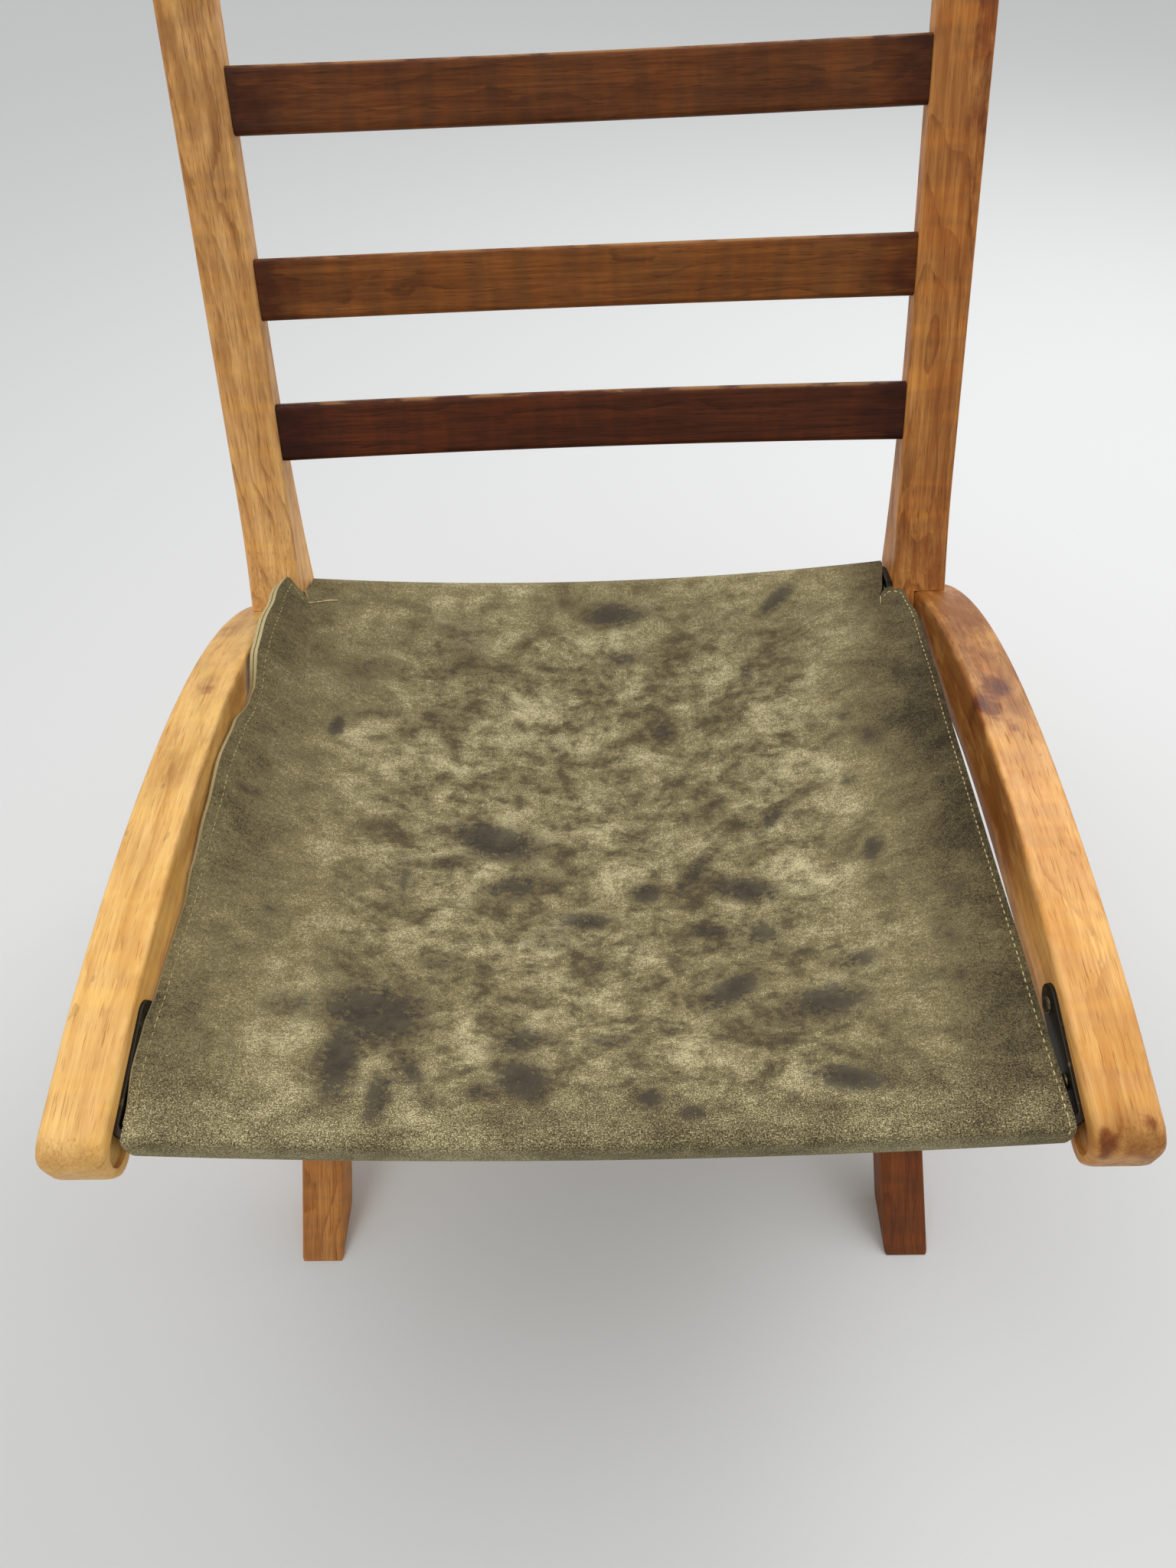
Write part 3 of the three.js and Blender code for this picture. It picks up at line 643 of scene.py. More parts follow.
for side in SIDES:
    rail = solid(f"bent_rail_{side}", rail_rings(), side)
    carve(rail, [pocket_rings()], side)
    grain = grain_kept(rail, rail_path)
    off_middle = np.abs(grain[:, 2]) - RAIL_IN - RAIL_WIDE / 2
    across = np.abs(off_middle) / (RAIL_WIDE / 2)
    top = np.stack([grain[:, 0], off_middle], -1)
    # The inner face, from the middle of the rail back, is darkened as painted shade through the tint
    # attribute.
    inside = smooth((RAIL_IN + 3.5 - np.abs(grain[:, 2])) / 3)
    inside = inside * (0.2 + 0.8 * smooth((grain[:, 0] - 120) / 160))
    keep(rail.data, "edge", smooth((across + np.abs(grain[:, 1]) / 25 - 1.62) / 0.24))
    keep(rail.data, "stain", blobs(top, RAIL_STAINS[side]) * smooth((grain[:, 1] + 8) / 20))
    keep(rail.data, "tint", np.maximum(blobs(top, RAIL_TINTS_AND_SHEEN[side]), INNER_FACE_SHADE[side] * inside))
    finished(rail, f"side_rail_{side}")
print("rails have", len(rail.data.polygons), "faces each")

# %% [markdown]
# A back post is a sawn board: thin above, flared at the seat, with its outer part shouldered on the rail
# and its inner part running down beside the front leg. Such a board is its side outline carried across
# the chair, with the outline shrinking along a quarter circle near each face to round the long edges.

# %% Boards from a side outline


def inset(outline, by):
    """The closed outline moved inwards: each point goes along the sum of its two edges' normals,
    lengthened so that both edges move by the same amount."""
    edge = np.roll(outline, -1, axis=0) - outline
    edge /= np.linalg.norm(edge, axis=1)[:, None]
    normal = np.stack([-edge[:, 1], edge[:, 0]], -1)
    before = np.roll(normal, 1, axis=0)
    share = 1 + (normal * before).sum(1)[:, None]
    return outline + by * (normal + before) / share


def softened(outline, corners, steps=6):
    """The first few points of an outline, each replaced by a quadratic curve that starts and ends at its
    reach from it."""
    share = np.linspace(0, 1, steps + 1)[:, None]
    parts = []
    for index, reach in enumerate(corners):
        point = outline[index]
        before, after = outline[index - 1] - point, outline[index + 1] - point
        start = point + reach * before / np.linalg.norm(before)
        end = point + reach * after / np.linalg.norm(after)
        parts.append((1 - share) ** 2 * start + 2 * share * (1 - share) * point + share**2 * end)
    return np.concatenate([*parts, outline[len(corners) :]])


def board(outline, low, high, radius, corners=(), steps=5):
    """The rings of a board between two faces: a quarter circle of insets at each face. The outline runs
    anticlockwise, and its first corners are softened last, so that the insets stay clean."""
    turn = np.linspace(0, np.pi / 2, steps + 1)
    lost = np.concatenate([[radius + 0.8], radius * (1 - np.sin(turn))])
    x = np.concatenate([[0], radius * (1 - np.cos(turn))])
    flat = [softened(inset(outline, by), corners) for by in lost]
    rings = [np.insert(ring, 0, low + at, axis=1) for ring, at in zip(flat, x)]
    rings += [np.insert(ring, 0, high - at, axis=1) for ring, at in zip(flat[::-1], x[::-1])]
    return np.array(rings)


square = np.array([(0.0, 0.0), (30.0, 0.0), (30.0, 30.0), (0.0, 30.0)])
print("a square board has", len(board(square, 0, 10, 2)), "rings")

# %% The post's and the leg's own directions
POST_LEAN = math.radians(19)
POST_LONG, POST_THIN, POST_CROWN = 522, 22, 9
FRONT_FLARE, FRONT_FLARE_TOP = 12, 110
REAR_FLARE, REAR_FLARE_TOP = 36, 280
LEG_TOE, LEG_HEEL = 121.0, 178.0
SOLE = np.array([LEG_TOE + (LEG_HEEL - LEG_TOE) / 2, 0.0])
LEG_TURN = math.atan2(RAIL_BOLT[0] - SOLE[0], RAIL_BOLT[1])
LEG_DEEP = (LEG_HEEL - LEG_TOE) * math.cos(LEG_TURN)
BOLT_REACH = float(np.linalg.norm(RAIL_BOLT - SOLE))
LEG_REACH = BOLT_REACH + 8


def post_place(rise, back):
    """Y and Z on the post's side view, from its seat: rise along it, and back from its straight front
    face."""
    rise, back = np.broadcast_arrays(np.asarray(rise, float), np.asarray(back, float))
    lean, level = math.sin(POST_LEAN), math.cos(POST_LEAN)
    y = POST_SEAT[0] + rise * lean + back * level
    return np.stack([y, POST_SEAT[1] + rise * level - back * lean], -1)


def post_front(rise):
    """The front face comes forward towards the seat as a square of the way left."""
    return -FRONT_FLARE * np.maximum(0, 1 - rise / FRONT_FLARE_TOP) ** 2


def post_rear(rise):
    """The rear face goes back towards the seat, as the way left to the power 2.4."""
    return POST_THIN + REAR_FLARE * np.maximum(0, 1 - rise / REAR_FLARE_TOP) ** 2.4


def leg_place(along, off):
    """Y and Z on the leg: along its axis from the floor, and off above that axis."""
    along, off = np.broadcast_arrays(np.asarray(along, float), np.asarray(off, float))
    lean, level = math.sin(LEG_TURN), math.cos(LEG_TURN)
    return np.stack([SOLE[0] + along * lean - off * level, along * level + off * lean], -1)


print("the leg leans", round(math.degrees(LEG_TURN), 1), "degrees")

# %% The side outlines
TONGUE_FALL = math.tan(math.radians(9.5))
TONGUE_TOP = post_place(0, post_front(0))
tongue_gap = TONGUE_TOP[0] - TONGUE_TOP[1] * TONGUE_FALL - LEG_HEEL
TONGUE_DROP = tongue_gap / (math.tan(LEG_TURN) - TONGUE_FALL)
TONGUE_FOOT = np.array([LEG_HEEL + TONGUE_DROP * math.tan(LEG_TURN), TONGUE_DROP])


def post_outline():
    """From the tongue's foot up the flared front, round the top's two quarter circles, and down the
    flared rear."""
    rise = np.linspace(0, FRONT_FLARE_TOP, 40)
    front = post_place(rise, post_front(rise))
    turn = np.linspace(0, np.pi / 2, 9)
    crown_rise = POST_LONG + POST_CROWN * (np.sin(turn) - 1)
    crown_back = POST_CROWN * (1 - np.cos(turn))
    over = post_place(crown_rise, crown_back)
    behind = post_place(crown_rise, POST_THIN - crown_back)[::-1]
    fall = np.linspace(REAR_FLARE_TOP, 0, 60)
    rear = post_place(fall, post_rear(fall))
    foot = leg_place(LEG_REACH + LEG_DEEP / 2, -LEG_DEEP / 2)
    return np.concatenate([[TONGUE_FOOT], front, over, behind, rear, [foot]])[::-1]


def rail_top_outline(grow):
    """The rail's top edge and all that lies under it."""
    centre, slope, depth = rail_line()
    reach = (depth / 2 + grow)[:, None]
    edge = centre + reach * np.stack([-np.sin(slope), np.cos(slope)], -1)
    return np.concatenate([[[edge[0, 0], 0]], edge, [[edge[-1, 0], 0]]])


def leg_outline():
    """A straight leg: its toe and heel, then its half round upper end."""
    angle = np.linspace(-0.5, 0.5, 25) * np.pi
    end = leg_place(LEG_REACH + LEG_DEEP / 2 * np.cos(angle), LEG_DEEP / 2 * np.sin(angle))
    return np.concatenate([[[LEG_TOE, 0.0], [LEG_HEEL, 0.0]], end])


def lap_outline():
    """What the tongue takes from the leg's outer half: everything behind the tongue's front edge."""
    slope = np.array([TONGUE_FALL, 1.0]) / math.hypot(TONGUE_FALL, 1)
    face = FIT * np.array([-slope[1], slope[0]])
    low, high = TONGUE_FOOT - 20 * slope + face, TONGUE_FOOT + LEG_REACH / 2 * slope + face
    return np.array([low, low + [LEG_REACH, 0], high + [LEG_REACH, 0], high])


print("the tongue's foot lies", round(float(TONGUE_DROP)), "mm above the floor")

# %% Two posts
POST_ROUND = 2.6
POST_STAINS = {
    "right": [
        (255, -6, 40, 7, 12, 0.5), (205, 9, 24, 5, -10, 0.45), (290, 4, 18, 6, 20, 0.5),
        (466, 19, 70, 5, 0, 1.0), (62, 17, 3, 2, 0, 0.9), (40, 0, 3, 2, 0, 0.8), (2, 10, 1.6, 13, 0, 1.1),
    ],
    "left": [
        (120, 6, 60, 2, 2, 0.45), (300, -8, 90, 2, 1, 0.45), (50, -10, 20, 2, 0, 0.4),
        (210, 12, 70, 1.6, -1, 0.4), (2, 10, 1.6, 13, 0, 0.9), (430, 4, 80, 1.8, 0, 0.4),
    ],
}
POST_TINTS = {"right": (0.05, 0.05), "left": (0.0, 0.6)}
POST_GRAIN_START = -260.0
post_path = post_place(np.array([POST_GRAIN_START, 560.0]), POST_THIN / 2)
for side in SIDES:
    post = solid(f"post_{side}", board(post_outline(), POST_IN, POST_IN + POST_WIDE, POST_ROUND), side)
    carve(post, [flat_rings(rail_top_outline(FIT), POST_IN + TONGUE, POST_IN + POST_WIDE + 20)], side)
    grain = grain_kept(post, post_path)
    across = np.abs(grain[:, 2]) - POST_IN - POST_WIDE / 2
    front = np.stack([grain[:, 0] + POST_GRAIN_START, across], -1)
    low, high = POST_TINTS[side]
    keep(post.data, "edge", smooth((np.abs(across) - 20.2) / 1.4))
    keep(post.data, "stain", blobs(front, POST_STAINS[side]))
    keep(post.data, "tint", low + (high - low) * smooth((grain[:, 0] - 300) / 160))
    finished(post, f"back_post_{side}")
print("posts have", len(post.data.polygons), "faces each")

# %% [markdown]
# The front legs are straight and square. They stand inside the rails and lean back to the bolts behind
# the seat, where their upper ends are half round. The same board function makes them from a simpler
# outline, and one cutter takes away the lap in which the post's tongue lies.

# %% Two front legs
LEG_WIDE, LEG_ROUND, LEG_CORNERS = 37, 2.2, (2.4, 1.6)
LEG_KNOT = {"right": (52, 3, 14, 7, 10, 1.0), "left": (38, 5, 12, 6, 0, 0.9)}
LEG_OUT = POST_IN + TONGUE
leg_path = leg_place(np.array([-30.0, 520.0]), 0.0)
for side in SIDES:
    leg_rings = board(leg_outline(), LEG_OUT - LEG_WIDE, LEG_OUT, LEG_ROUND, LEG_CORNERS)
    leg = solid(f"leg_{side}", leg_rings, side)
    carve(leg, [flat_rings(lap_outline(), POST_IN - FIT, LEG_OUT + 20)], side)
    grain = grain_kept(leg, leg_path)
    across = np.abs(grain[:, 2]) - LEG_OUT + LEG_WIDE / 2
    front = np.stack([grain[:, 0], across], -1)
    keep(leg.data, "edge", smooth((np.abs(across) - 16.6) / 1.4) * smooth((np.abs(grain[:, 1]) - 12) / 6))
    keep(leg.data, "stain", blobs(front, [LEG_KNOT[side]]))
    keep(leg.data, "tint", np.zeros(len(grain)))
    finished(leg, f"front_leg_{side}")
print("legs have", len(leg.data.polygons), "faces each")

# %% [markdown]
# The three slats are thin, bowed backwards and let into the posts. Each is a rounded rectangle carried
# across the chair, and only its distance behind the posts' front faces changes on the way.

# %% Three slats
SLAT_TALL, SLAT_THICK, SLAT_ROUND = 46.0, 13.0, 4.6
SLAT_SETBACK, SLAT_BOW, SLAT_TENON = 3, 15, 14
SLAT_RISE = {"lower": 140.0, "middle": 251.0, "upper": 382.5}


def slat_rings(rise):
    """The ring's middle lies furthest back halfway between the posts, by a parabola."""
    reach = POST_IN + SLAT_TENON
    x = np.concatenate([[-reach], np.linspace(-POST_IN, POST_IN, 73), [reach]])
    share = np.minimum(1, np.abs(x) / POST_IN)
    middle = SLAT_SETBACK + SLAT_THICK / 2 + SLAT_BOW * (1 - share**2)
    ring = rounded_rings(np.full(len(x), SLAT_THICK), SLAT_TALL, SLAT_ROUND)
    side = post_place(rise + SLAT_TALL / 2 + ring[..., 1], middle[:, None] + ring[..., 0])
    return np.concatenate([np.broadcast_to(x[:, None, None], side.shape[:2] + (1,)), side], -1), ring


for number, (level, rise) in enumerate(SLAT_RISE.items()):
    rings, flat = slat_rings(rise)
    slat = solid(f"slat_{level}", rings)
    x, flat = rings[..., 0].ravel(), flat.reshape(-1, 2)
    keep(slat.data, "grain", np.stack([x + 900 * number, flat[:, 1] + 70 * number, flat[:, 0]], -1) / 1000)
    # Only the top edge is marked, where the wood turns paler: partly wear, partly a painted highlight of
    # light from above.
    keep(slat.data, "edge", smooth((flat[:, 1] - 20.5) / 1.5))
    keep(slat.data, "stain", np.zeros(len(x)))
    keep(slat.data, "tint", 0.8 * smooth((np.abs(x) - 190) / 70))
    finished(slat, f"back_slat_{level}")
print("slats have", len(slat.data.polygons), "faces each")

# %% [markdown]
# Two flat steel bars carry the seat. Each stands on edge, sags a little, and is bent round into an ear at
# each end. A rounded rectangle follows the bar's middle to the bend and along the ear, whose end closes
# as a half circle.

# %% Two bars
BARS = {"front": front_bar, "rear": rear_bar}


def bar_rings(bar):
    """Rings from the middle of the bar to the end of its right ear, and the same mirrored before them:
    straight on, round a quarter circle, and along the ear, where the height shrinks as a cosine."""
    straight = bar["ear_x"] - BAR_BEND
    span = np.linspace(0, straight, 30)
    turn = np.linspace(0, np.pi / 2, 9)[1:]
    last = np.linspace(0, np.pi / 2, 12)[:-1]
    ear = bar["ear"] - BAR_TALL / 2 * (1 - np.sin(last))
    x = np.concatenate([span, straight + BAR_BEND * np.sin(turn), bar["ear_x"] + 0 * last])
    along = np.concatenate([0 * span, BAR_BEND * (1 - np.cos(turn)), ear])
    out_x = np.concatenate([0 * span, np.sin(turn), 1 + 0 * last])
    out_y = np.concatenate([-1 + 0 * span, -np.cos(turn), 0 * last])
    tall = np.concatenate([BAR_TALL + 0 * span, BAR_TALL + 0 * turn, BAR_TALL * np.cos(last)])
    flat = rounded_rings(np.full(len(x), BAR_THICK), tall, BAR_EDGE, 3)
    through, up = flat[..., 0], flat[..., 1]
    y, z = bar_place(bar, along[:, None] + through * out_y[:, None], up, x[:, None])
    right = np.stack([x[:, None] + through * out_x[:, None], y, z], -1)
    return np.concatenate([right[:0:-1] * [-1, 1, 1], right])


for end, bar in BARS.items():
    finished(solid(f"steel_bar_{end}", bar_rings(bar)), f"{end}_bar")
print("bars have", len(bar_rings(front_bar)), "rings each")

# %% [markdown]
# Screws, bolts, washers and cap nuts are turned pieces: a profile of distances along X and radii, carried
# round an axis. A nut's ring is its hexagon or the turned limit, whichever is smaller, which gives it its
# chamfers.

# %% Turned pieces


def turned_rings(profile, centre, sides, hexagon=None):
    """One ring for each step of the profile: its place along X and its radius, cut to the hexagon if
    there is one. A hexagon's radius is its flat's distance over the cosine of the angle from that flat's
    middle."""
    profile = np.array(profile, float)
    angle = np.arange(sides) / sides * 2 * np.pi
    radius = np.broadcast_to(profile[:, 1:], (len(profile), sides))
    if hexagon:
        flat = hexagon * math.cos(math.pi / 6)
        radius = np.minimum(radius, flat / np.cos((angle + np.pi / 6) % (np.pi / 3) - np.pi / 6))
    x = np.broadcast_to(profile[:, :1], radius.shape)
    return np.stack([x, centre[0] + radius * np.cos(angle), centre[1] + radius * np.sin(angle)], -1)


def dome_profile(start, end, radius, steps=8):
    """A quarter ellipse from its rim to just short of its crown."""
    turn = np.linspace(0, 0.96, steps + 1) * np.pi / 2
    return np.stack([start + (end - start) * np.sin(turn), radius * np.cos(turn)], -1).tolist()


print("a dome's profile has", len(dome_profile(0, 1, 1)), "steps")

# %% Slotted screws
SCREW_HEAD, SCREW_HEAD_HIGH, SCREW_SLOT_FLOOR = 5.2, 2.8, 1.6
SCREW_SHANK, SCREW_LONG, SCREW_TIP = 2.0, 20, 4
SLOT_LONG, SLOT_WIDE = 6.0, 0.45


def screw_slot(centre, x, turn):
    """A thin bar across the head; each screw's slot is turned another way."""
    corners = np.array([(-1, -1), (1, -1), (1, 1), (-1, 1)]) * [SLOT_LONG, SLOT_WIDE]
    spin = np.array([[math.cos(turn), -math.sin(turn)], [math.sin(turn), math.cos(turn)]])
    return flat_rings(corners @ spin.T + centre, x - 6, x)


screw_count = 0
for side in SIDES:
    for end, bar in BARS.items():
        face = bar["ear_x"] - BAR_THICK / 2 - FIT
        for number, along in enumerate(bar["screws"], 1):
            screw_count += 1
            centre = np.array(bar_place(bar, along, 0, bar["ear_x"])).ravel()
            profile = dome_profile(face, face - SCREW_HEAD_HIGH, SCREW_HEAD)[::-1]
            profile += [(face, SCREW_SHANK), (face + SCREW_LONG - SCREW_TIP, SCREW_SHANK)]
            profile += [(face + SCREW_LONG, 0.5)]
            name = f"{end}_bar_screw_{number}_{side}"
            screw = solid(f"slotted_{name}", turned_rings(profile, centre, 40), side)
            carve(screw, [screw_slot(centre, face - SCREW_SLOT_FLOOR, 0.7 * screw_count)], side)
            finished(screw, name)
print(screw_count, "screws")

# %% Bolts, washers and cap nuts
BOLT, WASHER_THICK = 4.0, 1.6
FRAME_BOLTS = [
    (POST_BOLT, POST_IN, RAIL_IN + RAIL_WIDE),
    (leg_place(BOLT_REACH - 80, 0), LEG_OUT - LEG_WIDE, LEG_OUT),
    (RAIL_BOLT, LEG_OUT - LEG_WIDE, RAIL_IN + RAIL_WIDE),
]


def bolt_profile(face, seat):
    """From the chamfered tip inside the nut to the domed head outside."""
    shank = [(seat - 7.7, BOLT - 0.6), (seat - 7.2, BOLT), (face, BOLT)]
    return shank + [(face, 9.7), (face + 0.5, 10.0)] + dome_profile(face + 0.5, face + 4.5, 10.0, 10)[1:]


def washer_profile(face):
    """Out along the face that meets the wood, and back along the other; its last ring joins its first."""
    far = face - WASHER_THICK
    return [(far, 4.3), (face, 4.3), (face, 8.7), (face - 0.3, 9.0), (face - 1.3, 9.0), (far, 8.7)]


def nut_profile(seat):
    """The nut's flats between two chamfers, then the cap's dome."""
    top = seat - 7
    return [(seat, 7.0), (seat - 0.5, 7.5), (top + 0.9, 7.5), (top, 6.4)] + dome_profile(top, top - 5, 5.9)


for side in SIDES:
    for number, (centre, inner, outer) in enumerate(FRAME_BOLTS, 1):
        seat = inner - 2 * FIT - WASHER_THICK
        bolt = turned_rings(bolt_profile(outer + FIT, seat), centre, 56)
        washer = turned_rings(washer_profile(inner - FIT), centre, 48)
        nut = turned_rings(nut_profile(seat), centre, 48, hexagon=7.5)
        end = f"{number}_{side}"
        finished(solid(f"round_head_{end}", bolt, side), f"frame_bolt_{end}")
        finished(solid(f"flat_washer_{end}", washer, side, closed=True), f"frame_washer_{end}")
        finished(solid(f"cap_nut_{end}", nut, side), f"frame_nut_{end}")
print(len(chair), "pieces so far")

# %% [markdown]
# The seat is a belt of suede: it runs over the front bar, across the seat, round the rear bar and back
# underneath, and the two layers are sewn together near their edges. Cloth simulation would find the same
# hanging curve, but the suede is stiff and has taken its shape over years, so its shape is worked out: a
# parabola that sags most in the middle, edges that curl up again, and the places where the photograph
# shows a kink.

# %% The suede's own sizes, and the way round a bar
SLING_HALF = 272.0
LAYER, LAYER_GAP, SLACK = 2.0, 0.6, 1.2
ROUND_FRONT, ROUND_REAR = 1.6, 0.8


def bar_loop(bar, x, reach, swell):
    """The way round a bar from under it to above it, for every x: arcs at reach from the bar's four
    corners, and between them a face that swells as a parabola. Each part is a corner, the quarter turns
    between which its arc runs, and its count of steps."""
    through, half = BAR_THICK / 2, BAR_TALL / 2
    parts = [(through, -half, -0.7, -1.0, 4), (-through, -half, -1.0, -2.0, 9)]
    parts += [(-through, half, -2.0, -3.0, 9), (through, half, -3.0, -3.4, 4)]
    along, up = [], []
    for number, (corner_along, corner_up, start, stop, steps) in enumerate(parts):
        if number == 2:
            rise = np.linspace(-half, half, 9)[1:-1]
            along.append(-through - reach + 0 * rise)
            up.append(rise)
        angle = np.linspace(start, stop, steps) * np.pi / 2
        along.append(corner_along + reach * np.cos(angle))
        up.append(corner_up + reach * np.sin(angle))
    along, up = np.concatenate(along), np.concatenate(up)
    along = along - swell * np.maximum(0, 1 - (up / (half + reach)) ** 2) * (along < -through)
    return bar_place(bar, along[None], up[None], x[:, None])


print("the way round the front bar has", bar_loop(front_bar, np.zeros(1), SLACK, 0)[0].size, "points")

# %% [markdown]
# The two sides of the real sling differ: the left edge stands up along its rail and folds over near the
# back, and the right edge lies lower. So each of the tables below has a left entry, -1, and a right
# entry, 1. EDGE_LIFT and EDGE_OUT are knots: a place along the seat, and how far the edge is lifted or
# moved out there. EAR_EDGE is the ear's cut edge: a place across the chair, and how far the ear reaches
# behind the notch there. PANEL_SPREAD says how much wider the sling gets behind the notch, over what
# length, and how much more on the way to the rear bar.

# %% The sling's two sides
NOTCH_X, NOTCH_Y = {-1: 253.0, 1: 247.5}, {-1: 530.5, 1: 523.0}
EAR_EDGE = {
    -1: np.array([(253, 0), (258, 3), (268, 8.5), (272, 9)]),
    1: np.array([(247.5, 0), (253, 8), (258, 10), (263, 8.5), (268, 4), (272, 0)]),
}
PANEL_SPREAD = {-1: (4.5, 14, 0), 1: (4, 12, 5)}
BROAD_LIFT = {-1: 10.0, 1: 0.0}
EDGE_LIFT = {
    -1: [
        (30, 0), (60, 5), (85, 4), (112, 0), (180, 1), (210, 7), (259, 13.5), (306, 20), (349, 15.5),
        (383, 5), (395, 7), (424, 28), (458, 31), (500, 25), (540, 27), (560, 27),
    ],
    1: [(0, 0), (440, 0), (500, 2), (535, 4), (560, 4)],
}
EDGE_OUT = {
    -1: [(0, 0), (60, 2), (200, 1.5), (375, 1), (424, -4), (480, -4), (535, 0), (560, 0)],
    1: [(0, 0), (80, 0.2), (150, 1.2), (330, 2.2), (420, 3), (470, 2), (520, 0), (560, 0)],
}
RIM_SLANT = {-1: 0.5, 1: 0.2}
EAR_STEEL = rear_bar["ear_x"] - BAR_THICK / 2 - 0.5


def eased(knots, at):
    """Knots joined by smooth steps."""
    knots = np.array(knots, float)
    index = np.clip(np.searchsorted(knots[:, 0], at) - 1, 0, len(knots) - 2)
    start, end = knots[index], knots[index + 1]
    share = smooth((at - start[..., 0]) / (end[..., 0] - start[..., 0]))
    return start[..., 1] + (end[..., 1] - start[..., 1]) * share


def by_side(across, values):
    """The left entry for the columns on the left, and the right entry for the rest."""
    return np.where(across[:, None] < 0, values[-1], values[1])


def ripple(x, y):
    """Long shallow waves that years of sitting left in the suede: three products and sums of sines."""
    wave = 0.9 * np.sin(x / 41 + 1.3 * np.sin(y / 88)) * np.sin(y / 53 + 0.7)
    wave += 0.7 * np.sin((x + 0.6 * y) / 29 + 2.0) * np.sin((y - 0.4 * x) / 71)
    return wave + 0.4 * np.sin((0.8 * x - y) / 17 + np.sin(x / 60))


print("the left edge rises", max(lift for _, lift in EDGE_LIFT[-1]), "mm at most")

# %% [markdown]
# Seen from above, the suede is a wide strip with a notch cut out at each rear corner, where it passes
# between the posts. Rows and columns of a grid are laid on it so that one row follows the notch's cut.

# %% The rows seen from above
SPAN, PANEL = 150, 12
BEHIND_ALL = 580.0
SPREAD_FROM = 200
EAR_FROM, EAR_LOSS, EAR_REACH = 253, 4, 35


def notch_y(across):
    """Y of the row that follows the notches: each side's own, with a smooth rise between them."""
    share = smooth((across[:, None] + SPREAD_FROM) / (2 * SPREAD_FROM))
    return NOTCH_Y[-1] + (NOTCH_Y[1] - NOTCH_Y[-1]) * share


def panel_spread(across, y, corner_y):
    """How much wider the sling gets behind its notches, most at its edge and nothing some 50 mm inside
    it."""
    first, over, last = (by_side(across, {side: PANEL_SPREAD[side][k] for side in (-1, 1)}) for k in range(3))
    wider = first * smooth((y - corner_y) / over) + last * smooth((y - corner_y - 7) / 40)
    edge = by_side(across, NOTCH_X)
    return wider * smooth((np.abs(across)[:, None] - SPREAD_FROM) / (edge - SPREAD_FROM))


def plan_rows(across, start_y, end_y):
    """X and Y of the rows between the bars, and which rows lie behind the notches. In front of them the
    rows spread into the ears' cut edges, and the ears draw in a little; behind them, the panel widens."""
    q, sign = np.abs(across)[:, None], np.sign(across)[:, None]
    corner_y = notch_y(across)
    y = start_y + (corner_y - start_y) * (np.arange(SPAN) + 1) / SPAN
    y = np.concatenate([y, corner_y + (end_y - corner_y) * (np.arange(PANEL) + 1) / (PANEL + 1)], 1)
    panel = np.arange(SPAN + PANEL) >= SPAN
    drawn_in = np.clip((q - EAR_FROM) / (SLING_HALF - EAR_FROM), 0, 1)
    narrow = EAR_LOSS * drawn_in * smooth((y - corner_y + EAR_REACH) / EAR_REACH) * ~panel
    x = across[:, None] + sign * (panel * panel_spread(across, y, corner_y) - narrow)
    ear = by_side(across, {side: np.interp(q, *EAR_EDGE[side].T) for side in (-1, 1)})
    return x, y + ear * smooth((y - corner_y + 60) / 60) * ~panel, panel


print("a column has", SPAN + PANEL, "rows between the bars")

# %% [markdown]
# In side view each column hangs between the bars as a parabola. The side edges are lifted over that: a
# broad lift with a reach of 72 mm, and a close curl with a reach of 30 mm. Both grow as the square of the
# nearness to the edge, so their slope, which tilts the suede's thickness, is twice the nearness over the
# reach.

# %% The sling's faces
SAG_EDGE, SAG_MORE = 2, 40
BROAD_REACH, CURL_REACH, RIM_REACH, FOLD_REACH = 72, 30, 6, 48


def hang(x, step, start_z, end_z):
    """Height of the middle surface: the line between the bars less a parabola, whose depth falls towards
    the sides as the 2.4th power of the way there."""
    sag = SAG_EDGE + SAG_MORE * (1 - np.minimum(1, np.abs(x) / SLING_HALF) ** 2.4)
    return start_z + (end_z - start_z) * step - 4 * sag * step * (1 - step)


def curled(across, x, y, z, step):
    """Lifts the side edges and moves them out, lays the ripples between them, and gives the suede's tilt
    and how far its thickness leans out: the sine of the tilt, and a little more at the rim."""
    gap = np.maximum(0, SLING_HALF - np.abs(x))
    far, near = np.maximum(0, 1 - gap / BROAD_REACH), np.maximum(0, 1 - gap / CURL_REACH)
    broad = by_side(across, BROAD_LIFT) * smooth(step / 0.2) * smooth((1 - step) / 0.07)
    close = by_side(across, {side: eased(EDGE_LIFT[side], y) for side in (-1, 1)})
    close = close * smooth((1 - step) / 0.06)
    z = z + broad * far**2 + close * near**2
    z = z + smooth(step / 0.08) * smooth((1 - step) / 0.08) * smooth(gap / CURL_REACH) * ripple(x, y)
    moved = by_side(across, {side: eased(EDGE_OUT[side], y) for side in (-1, 1)})
    x = x + np.sign(across)[:, None] * near**2 * moved
    tilt = np.arctan(2 * (broad * far / BROAD_REACH + close * near / CURL_REACH))
    slant = np.sin(tilt) + by_side(across, RIM_SLANT) * np.maximum(0, 1 - gap / RIM_REACH)
    return x, z, tilt, slant


